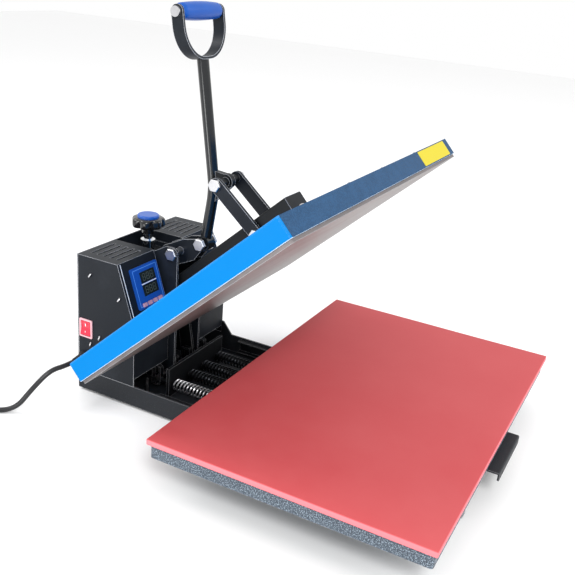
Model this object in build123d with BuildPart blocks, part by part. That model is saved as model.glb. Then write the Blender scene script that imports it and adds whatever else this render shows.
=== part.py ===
from build123d import *
from math import acos, atan2, cos, degrees, hypot, pi, radians, sin, tan
import os

# Slide-out clamshell heat press, 600 x 400 mm, in millimetres. X runs to the operator's right, Y away from
# the operator, Z up. The origin is on the bench, under the middle of the press's whole front-to-back length
# with the lower platen pulled out. At rest the press is open: platen tilted up, drawer out, handle upright.

os.makedirs("parts", exist_ok=True)

# ---------------------------------------------------------------- driving dimensions
# base tray
base_width = 262.0
base_length = 520.0
base_sheet = 2.5
front_lip = 6.0
foot_height = 4.0
foot_radius = 14.0
foot_inset = 26.0

# drawer with the lower platen
pad_width = 600.0
pad_depth = 400.0
pad_thickness = 9.0
platen_inset = 4.0
platen_height = 20.0
platen_sheet = 3.0
table_clearance = 20.0
drawer_travel = 135.0
drawer_gap = 16.0
slide_height = 22.0
slide_depth = 11.0
slide_length = 360.0
slide_play = 0.5
slide_lip_gap = 0.5
slide_top_gap = 3.0
rib_width = 22.0
rib_height = 14.0
pull_width = 118.0
pull_reach = 11.0
pull_lip = 11.0
pull_sheet = 2.5

# control box
box_depth = 111.0
box_top_depth = 78.0
box_top_z = 236.0
slope_bottom_z = 140.0
tower_width = 91.0
box_sheet = 1.5
tower_floor_z = 51.0
vent_count = 5
vent_length = 58.0
vent_width = 5.0
vent_pitch = 12.5

# operator panel
panel_width = 66.0
panel_height = 66.0
panel_thickness = 3.0
panel_from_inner = 37.0
panel_z = 191.0
window_width = 37.0
window_height = 18.0
window_pitch = 20.5
window_x = 4.0
window_lift = 4.0
button_drop = 27.0
button_width = 8.5
button_height = 5.5
button_pitch = 13.0
button_travel = 1.2

# side of the left tower
switch_width = 25.0
switch_height = 31.0
switch_y_from_rear = 17.0
switch_z = 114.0
fuse_radius = 6.5
gland_reach = 24.0
gland_radius = 9.0
gland_y_from_rear = 12.0
gland_z = 63.0
cord_diameter = 8.0
coil_mean_radius = 44.0
coil_rows = (3, 2)

# uprights and hinge
upright_gap = 66.0
upright_sheet = 4.0
upright_top_z = 246.0
hinge_setback = 24.0
hinge_z = 141.0
hinge_radius = 8.0
open_angle = 42.5

# upper platen
cover_width = 594.0
cover_depth = 403.0
cover_height = 29.0
cover_sheet = 2.0
plate_thickness = 12.0
plate_drop = 5.0
plate_inset = 5.0
press_gap = 0.5
beam_side_gap = 3.0
beam_height = 42.0
beam_wall = 4.0
beam_rear_reach = 14.0
beam_front_setback = 139.0

# lift springs behind the spring wall
tail_radius = 118.0
tail_rest_angle = 10.7
tail_width = 24.0
tail_sheet = 5.0
lift_bar_radius = 5.0
drawbar_radius = 4.0
drawbar_side_gap = 1.0
drawbar_outer_x = 64.0
drawbar_z = 25.0
spring_length = 190.0
spring_radius = 10.0
spring_wire = 2.5
spring_wall_top_z = 57.0

# handle, toggle links and pressure linkage
lever_pivot_from_front = 38.0
lever_pivot_z = 254.0
toggle_arm = 112.4
toggle_lean = 17.9
link_pivot_y = -233.0
link_width = 21.5
link_sheet = 6.0
link_side_gap = 2.0
rod_radius = 9.0
rod_bend_y = -12.0
rod_bend_z = 90.0
rod_top_y = 18.5
rod_top_z = 279.0
grip_rise = 67.0
grip_length = 100.0
grip_radius = 13.5
fork_width = 110.0
fork_seat = 6.0
fork_strap = 4.0
fork_strap_width = 20.0
rocker_plate = 4.0
rocker_gap = 20.0
rocker_bolt_radius = 6.0
pin_radius = 5.0
screw_radius = 6.0
screw_y_from_rear = 37.0
knob_radius = 28.5
knob_height = 27.0
cap_radius = 18.0

# fits
running = 0.06
loose = 0.5
pivot_gap = 0.5
hex_height = 6.5
hex_flat_radius = 9.0

# ---------------------------------------------------------------- derived places
overall_length = box_depth + drawer_gap + drawer_travel + pad_depth + pull_reach
rear_y = overall_length / 2
box_front_y = rear_y - box_depth
closed_pad_rear_y = box_front_y - drawer_gap
pad_rear_y = closed_pad_rear_y - drawer_travel
pad_front_y = pad_rear_y - pad_depth
pad_mid_y = (pad_rear_y + pad_front_y) / 2
base_front_y = rear_y - base_length
base_mid_y = (rear_y + base_front_y) / 2
base_half = base_width / 2

floor_z = foot_height + base_sheet
rail_height = base_sheet + front_lip + slide_lip_gap + slide_height + slide_top_gap
rail_top_z = foot_height + rail_height
platen_bottom_z = rail_top_z + table_clearance
platen_top_z = platen_bottom_z + platen_height
pad_top_z = platen_top_z + pad_thickness
platen_ceiling_z = platen_top_z - platen_sheet

hinge_y = box_front_y + hinge_setback
pivot_y = box_front_y - lever_pivot_from_front
screw_y = rear_y - screw_y_from_rear
box_top_front_y = rear_y - box_top_depth
tower_inner_x = base_half - tower_width
panel_x = -(tower_inner_x + panel_from_inner)
upright_inner_x = upright_gap / 2
upright_outer_x = upright_inner_x + upright_sheet
beam_width = upright_gap - 2 * (tail_sheet + beam_side_gap)
link_inner_gap = beam_width + 2 * link_side_gap
drawbar_inner_x = beam_width / 2 - drawbar_radius - drawbar_side_gap

# the upper platen is drawn closed, in a frame on the hinge, and stands tilted by open_angle
tilt = radians(open_angle)
upper = Plane(origin=(0, hinge_y, hinge_z), x_dir=(1, 0, 0), z_dir=(0, sin(tilt), cos(tilt)))
upper_side = Plane(origin=(0, hinge_y, hinge_z), x_dir=(0, cos(tilt), -sin(tilt)), z_dir=(1, 0, 0))
cover_rear = closed_pad_rear_y - hinge_y
cover_front = cover_rear - cover_depth
cover_mid = (cover_rear + cover_front) / 2
plate_bottom = pad_top_z + press_gap - hinge_z
cover_bottom = plate_bottom + plate_drop
cover_top = cover_bottom + cover_height
beam_bottom = cover_top
beam_top = beam_bottom + beam_height
beam_front = cover_front + beam_front_setback

side = Plane(origin=(0, 0, 0), x_dir=(0, 1, 0), z_dir=(1, 0, 0))


def hex_head(x, y, z, out):
    """A hexagon bolt head or nut on a pivot, standing out from x towards +X or -X."""
    with BuildPart() as head:
        with BuildSketch(Plane(origin=(x, y, z), x_dir=(0, 1, 0), z_dir=(out, 0, 0))):
            RegularPolygon(hex_flat_radius, 6, major_radius=False)
        extrude(amount=hex_height)
        chamfer(head.faces().sort_by(Axis.X)[-1 if out > 0 else 0].edges(), 1.0)
    return head.part


def save(piece, name):
    """Label a finished piece and write it to its own file."""
    piece.label = name
    export_step(piece, f"parts/{name}.step")


# ---------------------------------------------------------------- base tray and feet
with BuildPart() as base_tray:
    with BuildSketch(Plane.XY.offset(foot_height)):
        with Locations((0, base_mid_y)):
            Rectangle(base_width, base_length)
    extrude(amount=rail_height)
    with BuildSketch(Plane.XY.offset(floor_z)):
        with Locations((0, base_mid_y)):
            Rectangle(base_width - 2 * base_sheet, base_length - 2 * base_sheet)
    extrude(amount=rail_height, mode=Mode.SUBTRACT)
    with BuildSketch(Plane.XY.offset(floor_z + front_lip)):
        with Locations((0, base_front_y)):
            Rectangle(base_width - 2 * base_sheet, 4 * base_sheet)
    extrude(amount=rail_height, mode=Mode.SUBTRACT)
    with BuildSketch(side.offset(base_half - base_sheet)):
        with BuildLine():
            Polyline(
                (box_front_y - 22.0, rail_top_z),
                (box_front_y, rail_top_z),
                (box_front_y, rail_top_z + 22.0),
                (box_front_y - 4.0, rail_top_z + 22.0),
                close=True,
            )
        make_face()
    extrude(amount=base_sheet)
save(base_tray.part, "base_tray")

with BuildPart() as rubber_feet:
    with BuildSketch():
        with Locations((0, base_mid_y)):
            with GridLocations(base_width - 2 * foot_inset, base_length - 2 * foot_inset, 2, 2):
                Circle(foot_radius)
    extrude(amount=foot_height)
    chamfer(rubber_feet.faces().group_by(Axis.Z)[0].edges(), 1.0)
save(rubber_feet.part, "rubber_feet")

# ---------------------------------------------------------------- drawer slides, fixed members
slide_top_z = rail_top_z - slide_top_gap
slide_mid_z = slide_top_z - slide_height / 2
slide_front_y = base_front_y + 6.0
slide_mid_y = slide_front_y + slide_length / 2
slide_wall = 1.5
slide_outer_x = base_half - base_sheet
slide_inner_x = slide_outer_x - slide_depth

with BuildPart() as slide_channels:
    for hand in (-1, 1):
        with BuildSketch(Plane(origin=(0, slide_front_y, 0), x_dir=(1, 0, 0), z_dir=(0, -1, 0))):
            with Locations((hand * (slide_outer_x + slide_inner_x) / 2, slide_mid_z)):
                Rectangle(slide_depth, slide_height)
            with Locations((hand * (slide_outer_x + slide_inner_x) / 2 - hand * slide_wall, slide_mid_z)):
                Rectangle(slide_depth, slide_height - 2 * slide_wall, mode=Mode.SUBTRACT)
        extrude(amount=-slide_length)
save(slide_channels.part, "slide_channels")

# ---------------------------------------------------------------- drawer, moving members
runner_height = slide_height - 2 * slide_wall - 2 * slide_play
runner_outer_x = slide_outer_x - slide_wall - slide_play
runner_inner_x = slide_inner_x - 1.0
runner_front_y = slide_front_y - drawer_travel

with BuildPart() as slide_runners:
    for hand in (-1, 1):
        with BuildSketch(Plane(origin=(0, runner_front_y, 0), x_dir=(1, 0, 0), z_dir=(0, -1, 0))):
            with Locations((hand * (runner_outer_x + runner_inner_x) / 2, slide_mid_z)):
                Rectangle(runner_outer_x - runner_inner_x, runner_height)
            with Locations((hand * (runner_outer_x + runner_inner_x) / 2 + hand * 2.0, slide_mid_z)):
                Rectangle(runner_outer_x - runner_inner_x, runner_height - 6.0, mode=Mode.SUBTRACT)
        extrude(amount=-slide_length)
save(slide_runners.part, "slide_runners")

carriage_sheet = 3.0
carriage_flange = 22.0
carriage_outer_x = runner_inner_x
carriage_bottom_z = slide_mid_z - runner_height / 2

platen_width = pad_width - 2 * platen_inset
platen_depth = pad_depth - 2 * platen_inset
platen_front_y = pad_front_y + platen_inset
rib_end_gap = 12.0
rib_mid_y = runner_front_y + slide_length / 2
rib_span = slide_length * 0.62

with BuildPart() as carriage_frame:
    for hand in (-1, 1):
        with BuildSketch(Plane(origin=(0, runner_front_y, 0), x_dir=(1, 0, 0), z_dir=(0, -1, 0))):
            with Locations((hand * (carriage_outer_x - carriage_sheet / 2), carriage_bottom_z)):
                Rectangle(carriage_sheet, platen_ceiling_z - carriage_bottom_z, align=(Align.CENTER, Align.MIN))
            with Locations((hand * (carriage_outer_x - carriage_flange / 2), platen_ceiling_z)):
                Rectangle(carriage_flange, carriage_sheet, align=(Align.CENTER, Align.MAX))
        extrude(amount=-slide_length)

    for hand in (-1, 1):
        rib_inner_x = carriage_outer_x + 2.0
        rib_outer_x = platen_width / 2 - platen_sheet - rib_end_gap
        with BuildSketch(Plane.XY.offset(platen_ceiling_z - rib_height)):
            with Locations((hand * (rib_inner_x + rib_outer_x) / 2, rib_mid_y)):
                with GridLocations(1.0, rib_span / 2, 1, 3):
                    Rectangle(rib_outer_x - rib_inner_x, rib_width)
        extrude(amount=rib_height)
    with BuildSketch(Plane.XY.offset(platen_ceiling_z - rib_height)):
        with Locations((0, rib_mid_y)):
            with GridLocations(1.0, rib_span / 2, 1, 3):
                Rectangle(2 * (carriage_outer_x - carriage_flange - 1.0), rib_width)
    extrude(amount=rib_height)
save(carriage_frame.part, "carriage_frame")

with BuildPart() as lower_platen:
    with BuildSketch(Plane.XY.offset(platen_bottom_z)):
        with Locations((0, pad_mid_y)):
            RectangleRounded(platen_width, platen_depth, 4.0)
    extrude(amount=platen_height)
    with BuildSketch(Plane.XY.offset(platen_bottom_z)):
        with Locations((0, pad_mid_y)):
            Rectangle(platen_width - 2 * platen_sheet, platen_depth - 2 * platen_sheet)
    extrude(amount=platen_height - platen_sheet, mode=Mode.SUBTRACT)
save(lower_platen.part, "lower_platen")

with BuildPart() as silicone_pad:
    with BuildSketch(Plane.XY.offset(platen_top_z)):
        with Locations((0, pad_mid_y)):
            RectangleRounded(pad_width, pad_depth, 3.0)
    extrude(amount=pad_thickness)
    fillet(silicone_pad.faces().sort_by(Axis.Z)[-1].edges(), 1.5)
save(silicone_pad.part, "silicone_pad")

pull_top_z = platen_bottom_z - 1.0
pull_nose_y = pad_front_y - pull_reach
pull_root_y = platen_front_y + 26.0

with BuildPart() as drawer_pull:
    with BuildSketch(side.offset(-pull_width / 2)):
        with BuildLine():
            Polyline(
                (pull_root_y, platen_ceiling_z),
                (pull_root_y, pull_top_z - pull_sheet),
                (pull_nose_y, pull_top_z - pull_sheet),
                (pull_nose_y, pull_top_z - pull_sheet - pull_lip),
            )
            offset(amount=pull_sheet, side=Side.RIGHT)
        make_face()
    extrude(amount=pull_width)
    fillet(drawer_pull.edges().filter_by(Axis.Y).group_by(Axis.Z)[0], 4.0)
save(drawer_pull.part, "drawer_pull")

# ---------------------------------------------------------------- control box
box_bottom_z = rail_top_z
slope_run = box_depth - box_top_depth
slope_rise = box_top_z - slope_bottom_z
slope_angle = atan2(slope_run, slope_rise)
slope_length = hypot(slope_run, slope_rise)
tower_mid_x = (base_half + tower_inner_x) / 2
panel_seat_y = box_front_y + (panel_z - slope_bottom_z) * tan(slope_angle)
vent_mid_y = rear_y - box_top_depth / 2


def slope_plane(x, z):
    """A plane on the slanted front of the box: x to the right, y up the slope, normal outwards."""
    y = box_front_y + (z - slope_bottom_z) * tan(slope_angle)
    return Plane(origin=(x, y, z), x_dir=(1, 0, 0), z_dir=(0, -cos(slope_angle), sin(slope_angle)))


def tower_shell(hand):
    """One folded tower of the box, open at the rear and underneath, with vent slots in its top."""
    outline = (
        (rear_y - box_sheet, box_bottom_z),
        (box_front_y, box_bottom_z),
        (box_front_y, slope_bottom_z),
        (box_top_front_y, box_top_z),
        (rear_y - box_sheet, box_top_z),
    )
    with BuildPart() as shell:
        with BuildSketch(side.offset(hand * tower_mid_x - tower_width / 2)):
            with BuildLine():
                Polyline(*outline, close=True)
            make_face()
        extrude(amount=tower_width)
        with BuildSketch(side.offset(hand * tower_mid_x - tower_width / 2 + box_sheet)):
            with BuildLine():
                Polyline(
                    (rear_y, box_bottom_z - 1.0),
                    (box_front_y + box_sheet, box_bottom_z - 1.0),
                    (box_front_y + box_sheet, slope_bottom_z),
                    (box_top_front_y + box_sheet, box_top_z - box_sheet),
                    (rear_y, box_top_z - box_sheet),
                    close=True,
                )
            make_face()
        extrude(amount=tower_width - 2 * box_sheet, mode=Mode.SUBTRACT)
        with BuildSketch(Plane.XY.offset(box_top_z - 2 * box_sheet)):
            with Locations((hand * tower_mid_x, vent_mid_y)):
                with GridLocations(1.0, vent_pitch, 1, vent_count):
                    SlotOverall(vent_length, vent_width)
        extrude(amount=3 * box_sheet, mode=Mode.SUBTRACT)
        with BuildSketch(Plane.XY.offset(box_bottom_z - 1.0)):
            with Locations((hand * (tower_mid_x - box_sheet), (box_front_y + rear_y) / 2)):
                Rectangle(tower_width, box_depth + 2.0)
        extrude(amount=tower_floor_z - box_bottom_z + 1.0, mode=Mode.SUBTRACT)
        if hand < 0:
            with BuildSketch(slope_plane(panel_x, panel_z)):
                Rectangle(panel_width - 8.0, panel_height - 4.0)
            extrude(amount=6.0, both=True, mode=Mode.SUBTRACT)
            with BuildSketch(Plane(origin=(-base_half, 0, 0), x_dir=(0, -1, 0), z_dir=(-1, 0, 0))):
                with Locations((-(rear_y - switch_y_from_rear), switch_z)):
                    Rectangle(switch_width - 3.0, switch_height - 3.0)
                with Locations((-(rear_y - gland_y_from_rear), gland_z)):
                    Circle(gland_radius - 2.0)
            extrude(amount=-2 * box_sheet, mode=Mode.SUBTRACT)
    return shell.part


save(tower_shell(-1), "left_tower")
save(tower_shell(1), "right_tower")

with BuildPart() as rear_panel:
    with BuildSketch(Plane(origin=(0, rear_y, 0), x_dir=(-1, 0, 0), z_dir=(0, 1, 0))):
        with Locations((0, (box_bottom_z + box_top_z) / 2)):
            Rectangle(base_width, box_top_z - box_bottom_z)
        for x in (-tower_mid_x, tower_mid_x):
            with Locations((x, (box_bottom_z + box_top_z) / 2)):
                with GridLocations(1.0, vent_pitch, 1, vent_count):
                    SlotOverall(vent_length, vent_width, mode=Mode.SUBTRACT)
    extrude(amount=-box_sheet)
save(rear_panel.part, "rear_panel")

floor_depth = box_depth - box_sheet
with BuildPart() as tower_floors:
    with BuildSketch(Plane.XY.offset(tower_floor_z)):
        for hand in (-1, 1):
            with Locations((hand * tower_mid_x, box_front_y + box_sheet + (floor_depth - box_sheet) / 2)):
                Rectangle(tower_width - 2 * box_sheet, floor_depth - box_sheet)
    extrude(amount=box_sheet)
save(tower_floors.part, "tower_floors")

# operator panel on the left tower's slope
panel_back = slope_plane(panel_x, panel_z)
window_places = [(window_x, window_lift - window_pitch / 2), (window_x, window_lift + window_pitch / 2)]
button_places = [(button_pitch * (i - 1.5), -button_drop) for i in range(4)]

with BuildPart() as display_panel:
    with BuildSketch(panel_back):
        RectangleRounded(panel_width, panel_height, 3.0)
        with Locations(*button_places):
            Rectangle(button_width + 2 * loose, button_height + 2 * loose, mode=Mode.SUBTRACT)
    extrude(amount=panel_thickness)
    with BuildSketch(panel_back.offset(panel_thickness - 1.0)):
        with Locations(*window_places):
            Rectangle(window_width, window_height)
    extrude(amount=1.0, mode=Mode.SUBTRACT)
save(display_panel.part, "display_panel")

with BuildPart() as display_windows:
    with BuildSketch(panel_back.offset(panel_thickness - 1.0)):
        with Locations(*window_places):
            Rectangle(window_width, window_height)
    extrude(amount=1.0)
save(display_windows.part, "display_windows")

button_stem = 3.5
for number, place in enumerate(button_places, 1):
    with BuildPart() as panel_button:
        with BuildSketch(panel_back.offset(button_travel - button_stem + 1.0)):
            with Locations(place):
                Rectangle(button_width, button_height)
        extrude(amount=panel_thickness + button_stem)
    save(panel_button.part, f"panel_button_{number}")

board_gap = 6.0
board_thickness = 1.6
with BuildPart() as circuit_board:
    with BuildSketch(panel_back.offset(-board_gap - board_thickness)):
        Rectangle(panel_width - 12.0, panel_height - 4.0)
    extrude(amount=board_thickness)
    with BuildSketch(panel_back.offset(-board_gap)):
        with Locations((-18.0, 8.0), (-18.0, -8.0)):
            Rectangle(10.0, 10.0)
    extrude(amount=3.0)
    with BuildSketch(panel_back.offset(-board_gap - board_thickness)):
        with Locations((0.0, 12.0), (0.0, -14.0)):
            Rectangle(30.0, 14.0)
    extrude(amount=-12.0)
    with BuildSketch(panel_back.offset(-board_gap)):
        with GridLocations(panel_width - 18.0, panel_height - 26.0, 2, 2):
            Circle(2.0)
    extrude(amount=board_gap)
save(circuit_board.part, "circuit_board")

# power parts on the tower floors
part_seat_z = tower_floor_z + box_sheet
part_mid_y = box_front_y + box_depth * 0.55
with BuildPart() as solid_state_relay:
    with BuildSketch(Plane.XY.offset(part_seat_z)):
        with Locations((tower_mid_x, part_mid_y)):
            Rectangle(45.0, 60.0)
    extrude(amount=6.0)
    with BuildSketch(Plane.XY.offset(part_seat_z + 6.0)):
        with Locations((tower_mid_x, part_mid_y)):
            Rectangle(45.0, 58.0)
    extrude(amount=16.0)
    with BuildSketch(Plane.XY.offset(part_seat_z + 22.0)):
        with Locations((tower_mid_x, part_mid_y)):
            with GridLocations(26.0, 46.0, 2, 2):
                Circle(4.0)
    extrude(amount=3.0)
save(solid_state_relay.part, "solid_state_relay")

with BuildPart() as terminal_block:
    with BuildSketch(Plane.XY.offset(part_seat_z)):
        with Locations((-tower_mid_x, part_mid_y)):
            Rectangle(40.0, 20.0)
    extrude(amount=12.0)
    with BuildSketch(Plane.XY.offset(part_seat_z + 12.0)):
        with Locations((-tower_mid_x, part_mid_y)):
            Rectangle(40.0, 4.0)
    extrude(amount=4.0)
save(terminal_block.part, "terminal_block")

# mains switch on the left side
switch_y = rear_y - switch_y_from_rear
switch_face = Plane(origin=(-base_half, switch_y, switch_z), x_dir=(0, -1, 0), z_dir=(-1, 0, 0))
switch_rim = 2.5
with BuildPart() as switch_frame:
    with BuildSketch(switch_face):
        RectangleRounded(switch_width, switch_height, 1.5)
        Rectangle(switch_width - 2 * switch_rim, switch_height - 2 * switch_rim, mode=Mode.SUBTRACT)
    extrude(amount=2.0)
    with BuildSketch(switch_face):
        Rectangle(switch_width - 3.4, switch_height - 3.4)
        Rectangle(switch_width - 2 * switch_rim, switch_height - 2 * switch_rim, mode=Mode.SUBTRACT)
    extrude(amount=-14.0)
    with BuildSketch(switch_face.offset(-14.0)):
        Rectangle(switch_width - 3.4, switch_height - 3.4)
    extrude(amount=-6.0)
save(switch_frame.part, "switch_frame")

rocker_key_width = switch_width - 2 * switch_rim - 1.2
rocker_key_height = switch_height - 2 * switch_rim - 1.6
key_pivot = switch_face.offset(-6.0)
with BuildPart() as switch_key:
    with BuildSketch(Plane(origin=(-base_half, switch_y, switch_z), x_dir=(-1, 0, 0), z_dir=(0, -1, 0))):
        with BuildLine():
            Polyline(
                (-6.0, -rocker_key_height / 2 + 2.0),
                (1.0, -rocker_key_height / 2 + 0.6),
                (-0.6, 0.0),
                (3.6, rocker_key_height / 2 - 1.6),
                (-6.0, rocker_key_height / 2 - 3.2),
                close=True,
            )
        make_face()
    extrude(amount=rocker_key_width / 2, both=True)
save(switch_key.part, "switch_key")

# cord gland, side screws
gland_y = rear_y - gland_y_from_rear
gland_face = Plane(origin=(-base_half, gland_y, gland_z), x_dir=(0, -1, 0), z_dir=(-1, 0, 0))
with BuildPart() as cord_gland:
    with BuildSketch(gland_face):
        Circle(gland_radius)
    extrude(amount=4.0)
    with BuildSketch(gland_face):
        Circle(gland_radius - 2.0)
    extrude(amount=-6.0)
    with BuildSketch(gland_face.offset(4.0)):
        Circle(gland_radius - 2.0)
    extrude(amount=gland_reach - 4.0, taper=6.0)
save(cord_gland.part, "cord_gland")

side_screw_places = ((26.0, 88.0), (44.0, 104.0), (82.0, 74.0), (82.0, 180.0), (26.0, 206.0))
with BuildPart() as side_screws:
    for hand in (-1, 1):
        for from_rear, z in side_screw_places:
            with BuildSketch(Plane(origin=(hand * base_half, rear_y - from_rear, z), z_dir=(hand, 0, 0))):
                Circle(4.0)
            extrude(amount=2.0)
save(side_screws.part, "side_screws")

# ---------------------------------------------------------------- uprights, bridge and shaft
upright_front_y = box_front_y - 11.0
upright_rear_y = rear_y - 11.0
rocker_bolt_y = box_front_y - 1.0
rocker_bolt_z = upright_top_z - 10.5
upright_shoulder_z = 222.0
bridge_half = 19.0
bridge_top_z = 213.0
bridge_thickness = 6.0
screw_nut_height = 8.0
slot_half = lift_bar_radius + 1.2


def around_hinge(radius, angle):
    """Y and Z of a point at a radius from the hinge; the angle is from straight down towards the rear."""
    return (hinge_y + radius * sin(radians(angle)), hinge_z - radius * cos(radians(angle)))


bar_rest = around_hinge(tail_radius, -tail_rest_angle)
bar_middle = around_hinge(tail_radius, open_angle / 2 - tail_rest_angle)
bar_closed = around_hinge(tail_radius, open_angle - tail_rest_angle)

lift_path = ThreePointArc(bar_rest, bar_middle, bar_closed)

with BuildPart() as uprights:
    for hand in (-1, 1):
        with BuildSketch(side.offset(hand * (upright_inner_x + upright_sheet / 2) - upright_sheet / 2)):
            with BuildLine():
                Polyline(
                    (upright_front_y, floor_z),
                    (upright_front_y, upright_top_z),
                    (upright_front_y + 22.0, upright_top_z),
                    (box_top_front_y + 20.0, upright_shoulder_z),
                    (upright_rear_y, upright_shoulder_z),
                    (upright_rear_y, floor_z),
                    close=True,
                )
            make_face()
            fillet(vertices().group_by(Axis.Y)[-1], 9.0)
            with Locations((hinge_y, hinge_z)):
                Circle(hinge_radius, mode=Mode.SUBTRACT)
            with Locations((rocker_bolt_y, rocker_bolt_z)):
                Circle(rocker_bolt_radius, mode=Mode.SUBTRACT)
            SlotArc(lift_path, 2 * slot_half, mode=Mode.SUBTRACT)
        extrude(amount=upright_sheet)
save(uprights.part, "uprights")

with BuildPart() as pressure_bridge:
    with BuildSketch(Plane.XY.offset(bridge_top_z)):
        with Locations((0, screw_y)):
            Rectangle(upright_gap, 2 * bridge_half)
            Circle(screw_radius + running, mode=Mode.SUBTRACT)
    extrude(amount=-bridge_thickness)
    with BuildSketch(Plane.XY.offset(bridge_top_z)):
        with Locations((0, screw_y)):
            RegularPolygon(11.0, 6)
            Circle(screw_radius + running, mode=Mode.SUBTRACT)
    extrude(amount=screw_nut_height)
save(pressure_bridge.part, "pressure_bridge")

shaft_half = upright_outer_x + 2.0
with BuildPart() as hinge_shaft:
    with BuildSketch(side.offset(-shaft_half)):
        with Locations((hinge_y, hinge_z)):
            Circle(hinge_radius)
    extrude(amount=2 * shaft_half)
save(hinge_shaft.part, "hinge_shaft")

# ---------------------------------------------------------------- rocker arms and pressure screw
rocker_inner_x = rocker_gap / 2
rocker_mid_x = rocker_inner_x + rocker_plate / 2
block_rear_y = screw_y + bridge_half
block_front_y = screw_y - bridge_half
block_top_z = bridge_top_z - bridge_thickness - 4.0
block_bottom_z = block_top_z - 18.0

with BuildPart() as rocker_arms:
    for hand in (-1, 1):
        with BuildSketch(side.offset(hand * rocker_mid_x - rocker_plate / 2)):
            with BuildLine():
                Polyline(
                    (pivot_y - 6.0, lever_pivot_z - 4.0),
                    (pivot_y, lever_pivot_z + 9.0),
                    (rocker_bolt_y - 4.0, rocker_bolt_z + 20.0),
                    (box_top_front_y - 1.0, rocker_bolt_z + 1.5),
                    (block_front_y - 6.0, block_top_z),
                    (block_rear_y, block_top_z),
                    (block_rear_y, block_bottom_z),
                    (block_front_y, block_bottom_z),
                    (rocker_bolt_y + 3.0, rocker_bolt_z - 24.0),
                    (pivot_y + 11.0, lever_pivot_z - 29.0),
                    close=True,
                )
            make_face()
            with Locations((rocker_bolt_y, rocker_bolt_z)):
                Circle(rocker_bolt_radius, mode=Mode.SUBTRACT)
            with Locations((pivot_y, lever_pivot_z)):
                Circle(pin_radius, mode=Mode.SUBTRACT)
        extrude(amount=rocker_plate)
    with BuildSketch(Plane.XY.offset(block_bottom_z)):
        with Locations((0, screw_y)):
            Rectangle(rocker_gap, 2 * bridge_half - 8.0)
            Circle(screw_radius + running, mode=Mode.SUBTRACT)
    extrude(amount=block_top_z - block_bottom_z)
save(rocker_arms.part, "rocker_arms")

with BuildPart() as rocker_bolt:
    with BuildSketch(side.offset(-upright_outer_x)):
        with Locations((rocker_bolt_y, rocker_bolt_z)):
            Circle(rocker_bolt_radius)
    extrude(amount=2 * upright_outer_x)
    for hand in (-1, 1):
        add(hex_head(hand * upright_outer_x, rocker_bolt_y, rocker_bolt_z, hand))
save(rocker_bolt.part, "rocker_bolt")

lever_bolt_half = rocker_inner_x + rocker_plate
with BuildPart() as lever_bolt:
    with BuildSketch(side.offset(-lever_bolt_half)):
        with Locations((pivot_y, lever_pivot_z)):
            Circle(pin_radius)
    extrude(amount=2 * lever_bolt_half)
    for hand in (-1, 1):
        add(hex_head(hand * lever_bolt_half, pivot_y, lever_pivot_z, hand))
save(lever_bolt.part, "lever_bolt")

collar_bottom_z = bridge_top_z + screw_nut_height + 2.0
collar_top_z = collar_bottom_z + 12.0
knob_bottom_z = upright_top_z
knob_top_z = knob_bottom_z + knob_height

with BuildPart() as pressure_screw:
    with BuildSketch(Plane.XY.offset(block_bottom_z - 12.0)):
        with Locations((0, screw_y)):
            Circle(screw_radius)
    extrude(amount=collar_bottom_z - block_bottom_z + 12.0)
    with BuildSketch(Plane.XY.offset(collar_top_z)):
        with Locations((0, screw_y)):
            Circle(7.0)
    extrude(amount=knob_bottom_z - collar_top_z)
    with BuildSketch(Plane.XY.offset(collar_bottom_z)):
        with Locations((0, screw_y)):
            Circle(12.0)
    extrude(amount=collar_top_z - collar_bottom_z)
save(pressure_screw.part, "pressure_screw")

lobe_count = 8
with BuildPart() as pressure_knob:
    with BuildSketch(Plane.XY.offset(knob_bottom_z)):
        with Locations((0, screw_y)):
            Circle(knob_radius)
            with PolarLocations(knob_radius + 3.5, lobe_count):
                Circle(6.5, mode=Mode.SUBTRACT)
    extrude(amount=knob_height)
    chamfer(pressure_knob.faces().sort_by(Axis.Z)[-1].edges(), 2.0)
save(pressure_knob.part, "pressure_knob")

with BuildPart() as knob_cap:
    with BuildSketch(Plane.XY.offset(knob_top_z)):
        with Locations((0, screw_y)):
            Circle(cap_radius)
    extrude(amount=5.0)
    fillet(knob_cap.faces().sort_by(Axis.Z)[-1].edges(), 2.5)
save(knob_cap.part, "knob_cap")

# ---------------------------------------------------------------- upper platen on its arm
upper_up = Axis(upper.origin, upper.z_dir)
upper_along = Axis(upper.origin, upper.y_dir)

with BuildPart() as platen_cover:
    with BuildSketch(upper.offset(cover_bottom)):
        with Locations((0, cover_mid)):
            RectangleRounded(cover_width, cover_depth, 3.0)
    extrude(amount=cover_height)
    fillet(platen_cover.faces().sort_by(upper_up)[-1].edges(), 2.0)
    with BuildSketch(upper.offset(cover_bottom)):
        with Locations((0, cover_mid)):
            Rectangle(cover_width - 2 * cover_sheet, cover_depth - 2 * cover_sheet)
    extrude(amount=cover_height - cover_sheet, mode=Mode.SUBTRACT)
save(platen_cover.part, "platen_cover")

heater_width = cover_width - 2 * cover_sheet - 2 * loose
heater_depth = cover_depth - 2 * cover_sheet - 2 * loose
with BuildPart() as heating_plate:
    with BuildSketch(upper.offset(plate_bottom)):
        with Locations((0, cover_mid)):
            RectangleRounded(heater_width, heater_depth, 2.0)
    extrude(amount=plate_thickness)
save(heating_plate.part, "heating_plate")

element_thickness = 6.0
blanket_thickness = cover_top - cover_sheet - plate_bottom - plate_thickness - element_thickness
with BuildPart() as heating_element:
    with BuildSketch(upper.offset(plate_bottom + plate_thickness)):
        with Locations((0, cover_mid)):
            with GridLocations(1.0, 64.0, 1, 6):
                SlotOverall(heater_width - 40.0, 12.0)
    extrude(amount=element_thickness)
save(heating_element.part, "heating_element")

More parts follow.
